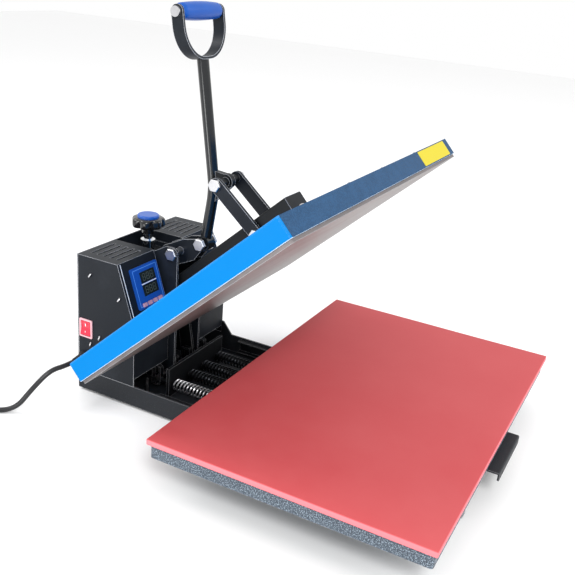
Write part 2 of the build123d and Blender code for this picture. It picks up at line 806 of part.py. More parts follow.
with BuildPart() as insulation_blanket:
    with BuildSketch(upper.offset(plate_bottom + plate_thickness + element_thickness)):
        with Locations((0, cover_mid)):
            Rectangle(heater_width - 2.0, heater_depth - 2.0)
    extrude(amount=blanket_thickness)
save(insulation_blanket.part, "insulation_blanket")

with BuildPart() as arm_beam:
    with BuildSketch(upper.offset(beam_bottom)):
        with Locations((0, (beam_rear_reach + beam_front) / 2)):
            Rectangle(beam_width, beam_rear_reach - beam_front)
    extrude(amount=beam_height)
    fillet(arm_beam.edges().filter_by(upper_along), 3.0)
    with BuildSketch(upper.offset(beam_bottom + beam_wall)):
        with Locations((0, (beam_rear_reach + beam_front) / 2 + beam_wall)):
            Rectangle(beam_width - 2 * beam_wall, beam_rear_reach - beam_front)
    extrude(amount=beam_height - 2 * beam_wall, mode=Mode.SUBTRACT)
    with BuildSketch(upper_side.offset(-beam_width)):
        Circle(hinge_radius + running)
        with Locations((link_pivot_y, 0)):
            Circle(pin_radius)
    extrude(amount=2 * beam_width, mode=Mode.SUBTRACT)
save(arm_beam.part, "arm_beam")

tail_inner_x = beam_width / 2
tail_angle = radians(open_angle - tail_rest_angle)
tail_end = (tail_radius * sin(tail_angle), -tail_radius * cos(tail_angle))
with BuildPart() as tail_plates:
    for hand in (-1, 1):
        with BuildSketch(upper_side.offset(hand * (tail_inner_x + tail_sheet / 2) - tail_sheet / 2)):
            with BuildLine():
                Line((0, 0), tail_end)
                offset(amount=tail_width / 2, side=Side.BOTH)
            make_face()
            with Locations((-16.0, 0)):
                Rectangle(56.0, beam_height - 10.0)
            Circle(hinge_radius + running, mode=Mode.SUBTRACT)
            with Locations(tail_end):
                Circle(lift_bar_radius, mode=Mode.SUBTRACT)
        extrude(amount=tail_sheet)
save(tail_plates.part, "tail_plates")

lift_bar_half = drawbar_outer_x + 8.0
with BuildPart() as lift_bar:
    with BuildSketch(side.offset(-lift_bar_half)):
        with Locations(bar_rest):
            Circle(lift_bar_radius)
    extrude(amount=2 * lift_bar_half)
save(lift_bar.part, "lift_bar")

link_outer_x = link_inner_gap / 2 + link_sheet
link_pin_half = link_outer_x + 0.4
with BuildPart() as link_bolt:
    with BuildSketch(upper_side.offset(-link_pin_half)):
        with Locations((link_pivot_y, 0)):
            Circle(pin_radius)
    extrude(amount=2 * link_pin_half)
    link_pivot = upper_side.from_local_coords((link_pivot_y, 0, 0))
    for hand in (-1, 1):
        add(hex_head(hand * link_pin_half, link_pivot.Y, link_pivot.Z, hand))
save(link_bolt.part, "link_bolt")

cover_face = Plane(
    origin=upper_side.from_local_coords((cover_front, 0, 0)), x_dir=(1, 0, 0), z_dir=-upper.y_dir
)
with BuildPart() as blank_plate:
    with BuildSketch(cover_face):
        with Locations((cover_width / 2 - 84.0, (cover_bottom + cover_top) / 2)):
            RectangleRounded(124.0, cover_height - 4.0, 2.0)
    extrude(amount=0.8)
save(blank_plate.part, "blank_plate")

cover_screw_x = (-200.0, -60.0, 60.0, 200.0)
with BuildPart() as cover_screws:
    with BuildSketch(upper.offset(cover_top)):
        for x in cover_screw_x:
            with Locations((x, cover_front + 22.0)):
                Circle(4.0)
            if abs(x) > beam_width:
                with Locations((x, cover_rear - 22.0)):
                    Circle(4.0)
    extrude(amount=2.5)
save(cover_screws.part, "cover_screws")

# ---------------------------------------------------------------- lift springs on their drawbars
spring_wall_y = box_front_y - 32.0
spring_wall_sheet = 5.0
spring_wall_half = drawbar_outer_x + 16.0
drawbar_x = (-drawbar_outer_x, -drawbar_inner_x, drawbar_inner_x, drawbar_outer_x)
bar_sag = 2.0
eye_wall = 3.0
eye_sheet = 8.0
eye_rear = lift_bar_radius + bar_sag + eye_wall
eye_front = lift_bar_radius + loose + eye_wall
eye_low_z = hinge_z - tail_radius - lift_bar_radius - loose
eye_high_z = bar_closed[1] + lift_bar_radius + loose
washer_thickness = 3.0
washer_y = spring_wall_y - spring_length - washer_thickness

with BuildPart() as spring_wall:
    with BuildSketch(Plane(origin=(0, spring_wall_y, 0), x_dir=(1, 0, 0), z_dir=(0, -1, 0))):
        with Locations((0, floor_z)):
            Rectangle(2 * spring_wall_half, spring_wall_top_z - floor_z, align=(Align.CENTER, Align.MIN))
        for x in drawbar_x:
            with Locations((x, drawbar_z)):
                Circle(drawbar_radius + running, mode=Mode.SUBTRACT)
    extrude(amount=-spring_wall_sheet)
save(spring_wall.part, "spring_wall")

with BuildPart() as drawbars:
    for x in drawbar_x:
        with BuildSketch(Plane(origin=(x, washer_y - 12.0, drawbar_z), x_dir=(1, 0, 0), z_dir=(0, 1, 0))):
            Circle(drawbar_radius)
        extrude(amount=bar_rest[0] - eye_front - washer_y + 12.0 + 1.0)
        with BuildSketch(side.offset(x - eye_sheet / 2)):
            with Locations((bar_rest[0] + (eye_rear - eye_front) / 2, (eye_low_z + eye_high_z) / 2)):
                RectangleRounded(eye_rear + eye_front, eye_high_z - eye_low_z + 2 * eye_wall, 4.0)
                Rectangle(
                    eye_rear + eye_front - 2 * eye_wall, eye_high_z - eye_low_z, mode=Mode.SUBTRACT
                )
        extrude(amount=eye_sheet)
        with BuildSketch(Plane(origin=(x, washer_y, drawbar_z), x_dir=(1, 0, 0), z_dir=(0, 1, 0))):
            Circle(spring_radius + 1.0)
            Circle(drawbar_radius, mode=Mode.SUBTRACT)
        extrude(amount=washer_thickness)
        with BuildSketch(Plane(origin=(x, washer_y, drawbar_z), x_dir=(1, 0, 0), z_dir=(0, 1, 0))):
            RegularPolygon(6.5, 6, major_radius=False)
            Circle(drawbar_radius, mode=Mode.SUBTRACT)
        extrude(amount=-7.0)
save(drawbars.part, "drawbars")

with BuildPart() as lift_springs:
    for x in drawbar_x:
        with BuildSketch(Plane(origin=(x, spring_wall_y, drawbar_z), x_dir=(1, 0, 0), z_dir=(0, -1, 0))):
            Circle(spring_radius)
            Circle(spring_radius - spring_wire, mode=Mode.SUBTRACT)
        extrude(amount=spring_length)
save(lift_springs.part, "lift_springs")

# ---------------------------------------------------------------- toggle links
joint_y = pivot_y - toggle_arm * sin(radians(toggle_lean))
joint_z = lever_pivot_z + toggle_arm * cos(radians(toggle_lean))

with BuildPart() as toggle_links:
    for hand in (-1, 1):
        with BuildSketch(side.offset(hand * (link_inner_gap + link_sheet) / 2 - link_sheet / 2)):
            with BuildLine():
                Line((link_pivot.Y, link_pivot.Z), (joint_y, joint_z))
                offset(amount=link_width / 2, side=Side.BOTH)
            make_face()
            with Locations((link_pivot.Y, link_pivot.Z)):
                Circle(pin_radius + running, mode=Mode.SUBTRACT)
        extrude(amount=link_sheet)
save(toggle_links.part, "toggle_links")

with BuildPart() as link_caps:
    for hand in (-1, 1):
        add(hex_head(hand * link_outer_x, joint_y, joint_z, hand))
save(link_caps.part, "link_caps")

# ---------------------------------------------------------------- handle
tube_radius = 7.0
tube_half = link_inner_gap / 2 - pivot_gap
boss_radius = 13.0
boss_half = rocker_inner_x - pivot_gap
bend_y = pivot_y + rod_bend_y
bend_z = lever_pivot_z + rod_bend_z
fork_y = pivot_y + rod_top_y
fork_bottom_z = lever_pivot_z + rod_top_z + 3.0
rod_lean = atan2(rod_top_y - rod_bend_y, rod_top_z + 3.0 - rod_bend_z)
grip_axis_y = fork_y + grip_rise * tan(rod_lean)
grip_axis_z = fork_bottom_z + grip_rise

with BuildPart() as lever:
    with BuildLine() as rod_path:
        FilletPolyline(
            (0, pivot_y, lever_pivot_z),
            (0, bend_y, bend_z),
            (0, fork_y, fork_bottom_z),
            radius=140.0,
        )
    with BuildSketch(Plane(origin=rod_path.line @ 0, z_dir=rod_path.line % 0)):
        Circle(rod_radius)
    sweep()
    with BuildSketch(side.offset(-boss_half)):
        with Locations((pivot_y, lever_pivot_z)):
            Circle(boss_radius)
    extrude(amount=2 * boss_half)
    with BuildSketch(side.offset(-boss_half - 1.0)):
        with Locations((pivot_y, lever_pivot_z)):
            Circle(pin_radius + running)
    extrude(amount=2 * boss_half + 2.0, mode=Mode.SUBTRACT)
save(lever.part, "lever")

with BuildPart() as lever_lug:
    with BuildSketch(side.offset(-5.0)):
        with BuildLine():
            Polyline(
                (joint_y - 4.0, joint_z + 11.0),
                (bend_y + 6.0, joint_z + 14.0),
                (bend_y + 6.0, joint_z - 46.0),
                (joint_y - 8.0, joint_z - 9.0),
                close=True,
            )
        make_face()
        with Locations((joint_y, joint_z)):
            Circle(12.0)
    extrude(amount=10.0)
    add(lever.part, mode=Mode.SUBTRACT)
    with BuildSketch(side.offset(-tube_half)):
        with Locations((joint_y, joint_z)):
            Circle(tube_radius)
            Circle(pin_radius, mode=Mode.SUBTRACT)
    extrude(amount=2 * tube_half)
save(lever_lug.part, "lever_lug")

fork_half = fork_width / 2
fork_plane = Plane(
    origin=(0, fork_y, fork_bottom_z), x_dir=(1, 0, 0), z_dir=(0, -cos(rod_lean), sin(rod_lean))
)
fork_top = grip_rise / cos(rod_lean) + fork_strap_width / 2
with BuildPart() as fork:
    with BuildSketch(fork_plane):
        with BuildLine():
            FilletPolyline(
                (-fork_half, fork_top),
                (-fork_half, 0),
                (fork_half, 0),
                (fork_half, fork_top),
                radius=fork_half - fork_seat,
            )
            offset(amount=fork_strap, side=Side.LEFT)
        make_face()
    extrude(amount=fork_strap_width / 2, both=True)
    strap_ends = fork.faces().sort_by(Axis(fork_plane.origin, fork_plane.y_dir))[-2:]
    fillet(strap_ends.edges().filter_by(Axis.X), fork_strap_width / 2 - 0.1)
    with BuildSketch(side.offset(-fork_half - 1.0)):
        with Locations((grip_axis_y, grip_axis_z)):
            Circle(4.0)
    extrude(amount=fork_width + 2.0, mode=Mode.SUBTRACT)
    add(lever.part, mode=Mode.SUBTRACT)
save(fork.part, "fork")

with BuildPart() as grip_axle:
    with BuildSketch(side.offset(-fork_half)):
        with Locations((grip_axis_y, grip_axis_z)):
            Circle(4.0)
    extrude(amount=fork_width)
    for hand in (-1, 1):
        with BuildSketch(side.offset(hand * fork_half)):
            with Locations((grip_axis_y, grip_axis_z)):
                Circle(7.5)
        extrude(amount=hand * 5.0)
save(grip_axle.part, "grip_axle")

with BuildPart() as grip:
    with BuildSketch(side.offset(-grip_length / 2)):
        with Locations((grip_axis_y, grip_axis_z)):
            Circle(grip_radius)
    extrude(amount=grip_length)
    fillet(grip.edges().filter_by(GeomType.CIRCLE), 3.0)
    with BuildSketch(side.offset(-grip_length)):
        with Locations((grip_axis_y, grip_axis_z)):
            Circle(4.0 + running)
    extrude(amount=2 * grip_length, mode=Mode.SUBTRACT)
save(grip.part, "grip")

# ---------------------------------------------------------------- drawer stop pin
with BuildPart() as stop_pin:
    with BuildSketch(Plane.XY.offset(floor_z)):
        with Locations((-base_half + 31.0, box_front_y - 4.0)):
            Circle(2.0)
    extrude(amount=42.0 - floor_z)
save(stop_pin.part, "stop_pin")

# ---------------------------------------------------------------- mains lead
cord_radius = cord_diameter / 2
cord_floor_z = cord_radius + 0.2
cord_route = (
    (-base_half - gland_reach, gland_y, gland_z),
    (-base_half - gland_reach - 18.0, gland_y, gland_z),
    (-base_half - 68.0, gland_y + 10.0, gland_z - 1.0),
    (-base_half - 96.0, gland_y + 21.0, gland_z - 25.0),
    (-base_half - 115.0, gland_y + 39.5, cord_floor_z),
    (-base_half - 140.0, gland_y + 74.5, cord_floor_z),
    (-base_half - 168.5, gland_y + 106.3, cord_floor_z),
)


def corner_radii(route):
    """The largest tangent arc at each inner point: it takes 0.45 of the shorter run beside it."""
    radii = []
    for before, corner, after in zip(route, route[1:], route[2:]):
        arriving = Vector(corner) - Vector(before)
        leaving = Vector(after) - Vector(corner)
        turn = radians(arriving.get_angle(leaving))
        radii.append(0.45 * min(arriving.length, leaving.length) / tan(turn / 2))
    return radii


cord_radii = corner_radii(cord_route)
with BuildPart() as power_cord:
    with BuildLine() as cord_path:
        FilletPolyline(*cord_route, radius=cord_radii)
    with BuildSketch(Plane(origin=cord_path.line @ 0, z_dir=cord_path.line % 0)):
        Circle(cord_radius)
    sweep()
save(power_cord.part, "power_cord")
print("cord radii", [round(r, 1) for r in cord_radii])
cord_length = sum(edge.length for edge in cord_path.edges())
print("cord stretch", round(cord_length, 1), "mm, volume over section x length", end=" ")
print(round(power_cord.part.volume / (pi * cord_radius**2 * cord_length), 4))

row_rise = cord_diameter * sin(radians(60.0))
coil_low_rows, coil_high_rows = coil_rows
coil_outer_turn = coil_mean_radius + (coil_low_rows - 1) / 2 * cord_diameter
coil_half = coil_low_rows / 2 * cord_diameter
coil_heading = (Vector(cord_route[-1]) - Vector(cord_route[-2])).normalized()
coil_centre = Vector(cord_route[-1]) + Vector(-coil_heading.Y, coil_heading.X, 0) * coil_outer_turn
with BuildPart() as cord_coil:
    with BuildSketch(Plane(origin=(coil_centre.X, coil_centre.Y, 0), x_dir=(1, 0, 0), z_dir=(0, -1, 0))):
        with BuildLine():
            Polyline(
                (coil_mean_radius - coil_half, 0.2),
                (coil_mean_radius + coil_half, 0.2),
                (coil_mean_radius + coil_half, cord_diameter),
                (coil_mean_radius + coil_half - cord_radius, cord_diameter + row_rise),
                (coil_mean_radius - coil_half + cord_radius, cord_diameter + row_rise),
                (coil_mean_radius - coil_half, cord_diameter),
                close=True,
            )
        make_face()
    revolve(axis=Axis((coil_centre.X, coil_centre.Y, 0), (0, 0, 1)))
save(cord_coil.part, "cord_coil")

plug_turn = 120.0
plug_nose = 16.0
plug_height = 18.0
plug_width = 26.0
plug_length = 34.0
plug_gap = 34.0
plug_radial = Vector(cos(radians(plug_turn)), sin(radians(plug_turn)), 0)
plug_heading = Vector(-plug_radial.Y, plug_radial.X, 0)
high_turn = coil_mean_radius + (coil_high_rows - 1) / 2 * cord_diameter
plug_start = coil_centre + plug_radial * high_turn + plug_heading * plug_gap
plug_plane = Plane(
    origin=(plug_start.X, plug_start.Y, plug_height / 2 + 0.2),
    x_dir=(plug_radial.X, plug_radial.Y, 0),
    z_dir=(plug_heading.X, plug_heading.Y, 0),
)
with BuildPart() as plug_body:
    with BuildSketch(plug_plane):
        Circle(cord_radius + 1.0)
    extrude(amount=plug_nose, taper=-8.0)
    with BuildSketch(plug_plane.offset(plug_nose)):
        RectangleRounded(plug_width, plug_height, 4.0)
    extrude(amount=plug_length)
save(plug_body.part, "plug_body")

with BuildPart() as plug_pins:
    with BuildSketch(plug_plane.offset(plug_nose + plug_length)):
        with Locations((-6.5, 2.0), (6.5, 2.0)):
            Rectangle(1.6, 6.4)
        with Locations((0, -4.5)):
            Circle(2.4)
    extrude(amount=18.0)
save(plug_pins.part, "plug_pins")
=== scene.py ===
import math

import bmesh
import bpy
from mathutils import Matrix, Vector


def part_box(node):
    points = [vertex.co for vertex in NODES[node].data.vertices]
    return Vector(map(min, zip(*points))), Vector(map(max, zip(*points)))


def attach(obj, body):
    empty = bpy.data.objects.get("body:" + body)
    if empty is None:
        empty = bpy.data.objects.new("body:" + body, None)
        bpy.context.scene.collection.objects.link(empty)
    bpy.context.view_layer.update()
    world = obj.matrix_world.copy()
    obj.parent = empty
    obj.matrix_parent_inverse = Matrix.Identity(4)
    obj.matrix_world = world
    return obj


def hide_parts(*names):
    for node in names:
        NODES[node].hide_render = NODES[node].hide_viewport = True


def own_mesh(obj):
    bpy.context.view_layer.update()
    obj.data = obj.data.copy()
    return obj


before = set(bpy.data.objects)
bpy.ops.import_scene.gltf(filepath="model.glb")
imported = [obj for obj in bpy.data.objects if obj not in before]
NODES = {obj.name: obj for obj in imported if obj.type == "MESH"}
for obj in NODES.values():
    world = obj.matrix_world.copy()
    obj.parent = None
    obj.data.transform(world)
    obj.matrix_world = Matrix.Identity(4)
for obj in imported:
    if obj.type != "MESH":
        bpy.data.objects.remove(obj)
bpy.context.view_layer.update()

bl_info = {
    "name": "Clamshell heat press",
    "version": (1, 0, 0),
    "blender": (4, 5, 0),
    "location": "3D View > Sidebar > Heat press",
    "description": "Finishes, springs, lead, screws and studio for the packed heat press",
    "category": "Object",
}

MM = 0.001
FINISHES = {}

CAMERA_PLACE = (-1.0435, -0.4741, 0.678)
# degrees about Z from the front, above the floor, and of roll
CAMERA_TURN = (-64.0, 21.7, 5.0)
STUDIO_REACH = 6.0
# name, place, diameter, power
LAMPS = (
    ("key_light", (-2.2, -1.4, 2.4), 0.9, 55.0),
    ("fill_light", (1.8, -2.4, 1.8), 1.6, 22.0),
    ("back_light", (-0.6, 2.2, 2.2), 1.2, 26.0),
    ("low_light", (-1.3, 0.38, 0.24), 0.42, 3.0),
)

# the display panel leans back by this much, and the upper platen stands open by OPEN at rest
SLOPE = math.atan2(33.0, 96.0)
OPEN = math.radians(42.5)
COVER_UP = Vector((0.0, math.sin(OPEN), math.cos(OPEN)))
# a digit's bars in millimetres: across, up, and whether the bar lies flat
SEGMENTS = (
    (0, 5.2, True), (0, 0, True), (0, -5.2, True),
    (-3, 2.6, False), (3, 2.6, False), (-3, -2.6, False), (3, -2.6, False),
)
SCREW_RADIUS = 4.0 * MM
SCREW_HEIGHT = 2.0 * MM
SCREW_SUNK = 1.0 * MM
FRONT_HALF_TALL = 14.2 * MM
PAD_ROUNDING = 1.6 * MM
PAD_CUTS = (24, 16)
PAD_BOW = 0.12 * MM
KNOB_LOBES = 7
KNOB_STEPS = 112
# shares of the knob's height, and of its radius there
KNOB_LEVELS = (
    (0.0, 0.36), (0.30, 0.36), (0.36, 0.44), (0.40, 0.78), (0.44, 0.93), (0.52, 0.99), (0.62, 1.0),
    (0.82, 1.0), (0.91, 0.965), (0.97, 0.9), (1.0, 0.80),
)


def low(node):
    """The node's lowest corner at rest."""
    return Vector(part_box(node)[0])


def high(node):
    """The node's highest corner at rest."""
    return Vector(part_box(node)[1])


def middle(node):
    """The centre of the node's box at rest."""
    return (low(node) + high(node)) / 2


# ------------------------------------------------------------------ shader maths
class Wire:
    """A number in a shader, wrapped so that an expression on it adds the Math nodes it needs."""

    def __init__(self, tree, socket):
        self.tree = tree
        self.socket = socket

    def math(self, operation, *others):
        node = self.tree.nodes.new("ShaderNodeMath")
        node.operation = operation
        for slot, value in zip(node.inputs, (self, *others)):
            join(self.tree, slot, value)
        return Wire(self.tree, node.outputs[0])

    def __add__(self, other):
        return self.math("ADD", other)

    def __sub__(self, other):
        return self.math("SUBTRACT", other)

    def __mul__(self, other):
        return self.math("MULTIPLY", other)

    def __rsub__(self, other):
        return (self * -1.0) + other

    __radd__ = __add__

    def size(self):
        return self.math("ABSOLUTE")


def join(tree, slot, value):
    """Puts a plain value on a socket, or links a wire or an output to it."""
    if isinstance(value, Wire):
        tree.links.new(value.socket, slot)
    elif isinstance(value, bpy.types.NodeSocket):
        tree.links.new(value, slot)
    else:
        slot.default_value = value


class Finish:
    """One material: a Principled shader and short ways to add the nodes that vary it."""

    def __init__(self, name, color, roughness, metallic=0.0, coat=0.0, gloss=0.5):
        self.material = bpy.data.materials.new(name)
        self.material.use_nodes = True
        self.tree = self.material.node_tree
        self.shader = self.tree.nodes["Principled BSDF"]
        self.set("Base Color", (*color, 1.0))
        self.set("Roughness", roughness)
        self.set("Metallic", metallic)
        self.set("Coat Weight", coat)
        self.set("Coat Roughness", 0.12)
        self.set("Specular IOR Level", gloss)
        self.place = self.node("ShaderNodeTexCoord").outputs["Object"]

    def set(self, socket, value):
        join(self.tree, self.shader.inputs[socket], value)

    def node(self, kind, settings=None, **sockets):
        made = self.tree.nodes.new(kind)
        for key, value in (settings or {}).items():
            setattr(made, key, value)
        for key, value in sockets.items():
            join(self.tree, made.inputs[key.replace("_", " ")], value)
        return made

    def noise(self, scale, detail=3.0, rough=0.5):
        made = self.node("ShaderNodeTexNoise", Vector=self.place, Scale=scale, Detail=detail, Roughness=rough)
        return Wire(self.tree, made.outputs["Fac"])

    def specks(self, scale):
        made = self.node("ShaderNodeTexVoronoi", Vector=self.place, Scale=scale)
        return Wire(self.tree, made.outputs["Distance"])

    def axis(self, name):
        made = self.node("ShaderNodeSeparateXYZ", Vector=self.place)
        return Wire(self.tree, made.outputs[name])

    def ramp(self, wire, start, end):
        made = self.node("ShaderNodeMapRange", Value=wire)
        made.inputs["From Min"].default_value = start
        made.inputs["From Max"].default_value = end
        return Wire(self.tree, made.outputs["Result"])

    def blend(self, mask, first, second):
        made = self.node("ShaderNodeMix", {"data_type": "RGBA"})
        join(self.tree, made.inputs[0], mask)
        for slot, value in ((made.inputs[6], first), (made.inputs[7], second)):
            join(self.tree, slot, (*value, 1.0) if isinstance(value, tuple) else value)
        return made.outputs[2]

    def edges(self, width):
        """1 on the convex edges of the piece and 0 elsewhere, for worn edges and for edges lightened as a
        painted highlight.
        """
        rounded = self.node("ShaderNodeBevel", {"samples": 6}, Radius=width)
        flat = self.node("ShaderNodeNewGeometry")
        dot = self.node("ShaderNodeVectorMath", {"operation": "DOT_PRODUCT"})
        join(self.tree, dot.inputs[0], rounded.outputs["Normal"])
        join(self.tree, dot.inputs[1], flat.outputs["Normal"])
        return self.ramp(1.0 - Wire(self.tree, dot.outputs["Value"]), 0.004, 0.05)

    def facing(self, name):
        """The part of the surface's own direction along one of the piece's axes."""
        made = self.node("ShaderNodeSeparateXYZ", Vector=self.node("ShaderNodeTexCoord").outputs["Normal"])
        return Wire(self.tree, made.outputs[name])

    def bump(self, height, distance, strength=1.0):
        made = self.node("ShaderNodeBump", Height=height, Distance=distance, Strength=strength)
        self.set("Normal", made.outputs["Normal"])


def powder_coat(name, color, fleck, roughness, grain=1500.0, fleck_share=0.25, coat=0.0):
    """Powder coat: a fine pebbled surface with paler flecks, an uneven gloss, and pale grey convex edges that
    are partly wear and partly painted highlight.
    """
    made = Finish(name, color, roughness, coat=coat, gloss=0.2)
    pebbles = made.noise(grain, 2.0)
    cloud = made.noise(14.0, 4.0)
    flecks = made.ramp(made.noise(grain * 0.55, 1.0), 0.72 - fleck_share * 0.4, 0.86 - fleck_share * 0.3)
    # pale grey convex edges: partly wear, partly painted highlight
    edge_wear_and_highlight = made.edges(0.0009) * 0.55
    base = made.blend(flecks * (0.35 + cloud * 0.9), color, fleck)
    made.set("Base Color", made.blend(edge_wear_and_highlight, base, (0.4, 0.41, 0.43)))
    made.set("Roughness", roughness - 0.08 + cloud * 0.18)
    made.bump(pebbles, 0.00012, 0.5)
    return made.material


def worn_coat(name, color, edge_wear_and_highlight_color, roughness):
    """Smooth black paint with thin bright lines on its convex edges, partly worn bare steel and partly
    painted highlight, and paler cloudy patches that are partly scuffs and partly painted sheen.
    """
    made = Finish(name, color, roughness, gloss=0.18)
    cloud = made.noise(22.0, 4.0)
    # paler cloudy patches: partly scuffs, partly painted sheen
    scuffs_and_sheen = made.ramp(made.noise(9.0, 6.0, 0.65), 0.5, 0.8)
    level = made.ramp(made.facing("Z"), 0.9, 0.97)
    # thin bright edge lines, weaker on faces that point up: partly worn steel, partly painted highlight
    edge_wear_and_highlight = made.edges(0.0011) * (0.3 + made.noise(40.0, 2.0)) * (1.0 - level * 0.8)
    base = made.blend(scuffs_and_sheen * 0.5, color, tuple(min(1.0, c * 2.6 + 0.012) for c in color))
    made.set("Base Color", made.blend(edge_wear_and_highlight, base, edge_wear_and_highlight_color))
    made.set("Roughness", roughness - 0.05 + cloud * 0.16)
    made.bump(made.noise(900.0, 2.0), 0.00008, 0.35)
    return made.material


def cover_paint(name, color):
    """Bright blue paint with a pale painted highlight along its edges."""
    made = Finish(name, color, 0.4, gloss=0.05)
    # pale blue edge lines: painted highlight
    edge_highlight = made.edges(0.0014)
    made.set("Base Color", made.blend(edge_highlight, color, (0.75, 0.88, 0.97)))
    made.set("Roughness", 0.3 + made.noise(30.0) * 0.1)
    made.bump(made.noise(700.0), 0.00004, 0.4)
    return made.material


def hammered_paint(name, color):
    """Slate blue hammered paint of the cover's front."""
    made = Finish(name, color, 0.45, gloss=0.1)
    hammer = made.specks(420.0)
    cloud = made.noise(60.0, 4.0)
    pale = tuple(c * 1.7 + 0.01 for c in color)
    made.set("Base Color", made.blend(made.ramp(hammer * 0.6 + cloud * 0.5, 0.2, 0.7), color, pale))
    made.set("Roughness", 0.36 + hammer * 0.2)
    made.bump(hammer, 0.00025, 0.5)
    return made.material


def silicone(name, color, dust):
    """Matt red silicone sponge with a fine skin, a paler bloom, and its side faces painted a brighter red as
    painted light.
    """
    made = Finish(name, color, 0.62, gloss=0.25)
    bloom = made.ramp(made.noise(5.5, 5.0, 0.6), 0.35, 0.75)
    grain = made.noise(1300.0, 2.0)
    # side faces painted a brighter, more saturated red: painted light
    side = 1.0 - made.ramp(made.facing("Z").size(), 0.2, 0.8)
    base = made.blend(bloom * 0.35, color, dust)
    made.set("Base Color", made.blend(side, base, (0.98, 0.22, 0.25)))
    made.set("Roughness", 0.55 + bloom * 0.14)
    made.bump(grain, 0.0001, 0.55)
    return made.material


def bare_metal(name, color, roughness, scratches=60.0, stretch=(1.0, 1.0, 1.0)):
    """Plated or turned steel with fine marks and patchy gloss."""
    made = Finish(name, color, roughness, metallic=1.0)
    mapped = made.node("ShaderNodeMapping", Vector=made.place, Scale=stretch)
    lines = made.node("ShaderNodeTexNoise", Vector=mapped.outputs["Vector"], Scale=scratches, Detail=5.0)
    marks = Wire(made.tree, lines.outputs["Fac"])
    made.set("Base Color", made.blend(marks, tuple(c * 0.82 for c in color), color))
    made.set("Roughness", roughness - 0.08 + marks * 0.2)
    made.bump(marks, 0.00004, 0.3)
    return made.material


def moulding(name, color, roughness, coat=0.0, mottle=0.12):
    """Moulded plastic or rubber with a faint skin."""
    made = Finish(name, color, roughness, coat=coat, gloss=0.3)
    cloud = made.noise(45.0, 3.0)
    paler = tuple(min(1.0, c * (1.0 + mottle * 3.0) + 0.004) for c in color)
    made.set("Base Color", made.blend(cloud * 0.6, color, paler))
    made.set("Roughness", roughness - 0.05 + cloud * 0.12)
    made.bump(made.noise(1600.0, 2.0), 0.00005, 0.4)
    return made.material


def heater_coat(name, color, pad_reflection):
    """The heating plate's coated face: grey and slightly warm, with long soft streaks of a warmer tint that
    is painted reflection of the red pad, and pale edges that are a painted highlight.
    """
    made = Finish(name, color, 0.3, metallic=0.35, gloss=0.3)
    mapped = made.node("ShaderNodeMapping", Vector=made.place, Scale=(1.0, 5.0, 5.0))
    reflection_noise = made.node("ShaderNodeTexNoise", Vector=mapped.outputs["Vector"], Scale=9.0, Detail=6.0)
    reflection_streaks = Wire(made.tree, reflection_noise.outputs["Fac"])
    # warmer streaks: painted reflection of the red pad
    face = made.blend(made.ramp(reflection_streaks, 0.3, 0.75), color, pad_reflection)
    # pale convex edges: painted highlight
    made.set("Base Color", made.blend(made.edges(0.0012) * 0.5, face, (0.5, 0.55, 0.6)))
    made.set("Roughness", 0.26 + reflection_streaks * 0.2)
    made.bump(made.noise(500.0, 3.0), 0.00005, 0.3)
    return made.material


def window_tint(name, color):
    """A dark display window with a faint grid behind it."""
    made = Finish(name, color, 0.12, coat=0.6)
    grid = made.ramp(made.specks(900.0), 0.2, 0.6)
    made.set("Base Color", made.blend(grid * 0.5, color, tuple(c * 2.5 for c in color)))
    made.set("Roughness", 0.1 + grid * 0.08)
    return made.material


def lit_segment(name, color):
    """A dim display segment."""
    made = Finish(name, color, 0.4)
    made.set("Emission Color", made.blend(made.noise(500.0), color, tuple(c * 0.7 for c in color)))
    made.shader.inputs["Emission Strength"].default_value = 0.25
    return made.material


def coil_steel(name, bare, painted_shade, shade_start_x):
    """Spring wire: its own bright steel where the coil lies past an edge in X, and near-black painted shade
    elsewhere.
    """
    made = Finish(name, bare, 0.25, metallic=1.0)
    # mask of the painted shade, by position in X
    dark = made.ramp(made.axis("X"), shade_start_x, shade_start_x + 0.004)
    marks = made.noise(120.0, 4.0)
    made.set("Base Color", made.blend(dark, bare, made.blend(marks, painted_shade, tuple(c * 1.6 for c in painted_shade))))
    made.set("Roughness", 0.2 + marks * 0.2)
    return made.material


# ------------------------------------------------------------------ mesh helpers
def add_piece(name, mesh, body, material):
    """Adds a finished mesh as a piece that rides on a body."""
    piece = bpy.data.objects.new(name, mesh)
    bpy.context.scene.collection.objects.link(piece)
    if material is not None:
        mesh.materials.clear()
        mesh.materials.append(material)
    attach(piece, body)
    return piece


def smooth(mesh, angle=35.0):
    """Shades a mesh smooth up to an angle between its faces."""
    for polygon in mesh.polygons:
        polygon.use_smooth = True
    mesh.set_sharp_from_angle(angle=math.radians(angle))


def turned(name, profile, segments=48):
    """A closed turned shape about +Z from (radius, height) points, both ends on or capped to the axis."""
    made = bmesh.new()
    rings = []
    for radius, height in profile:
        ring = []
        for step in range(segments):
            angle = math.tau * step / segments
            ring.append(made.verts.new((radius * math.cos(angle), radius * math.sin(angle), height)))
        rings.append(ring)
    for lower, upper in zip(rings, rings[1:]):
        for step in range(segments):
            after = (step + 1) % segments
            made.faces.new((lower[step], lower[after], upper[after], upper[step]))
    made.faces.new(list(reversed(rings[0])))
    made.faces.new(rings[-1])
    mesh = bpy.data.meshes.new(name)
    made.to_mesh(mesh)
    made.free()
    smooth(mesh)
    return mesh


def facing(origin, direction, across=(1.0, 0.0, 0.0)):
    """A matrix at origin whose +Z is direction and whose +X lies along across as nearly as it can."""
    up = Vector(direction).normalized()
    right = Vector(across) - up * up.dot(Vector(across))
    right.normalize()
    ahead = up.cross(right)
    return Matrix.Translation(Vector(origin)) @ Matrix((right, ahead, up)).transposed().to_4x4()


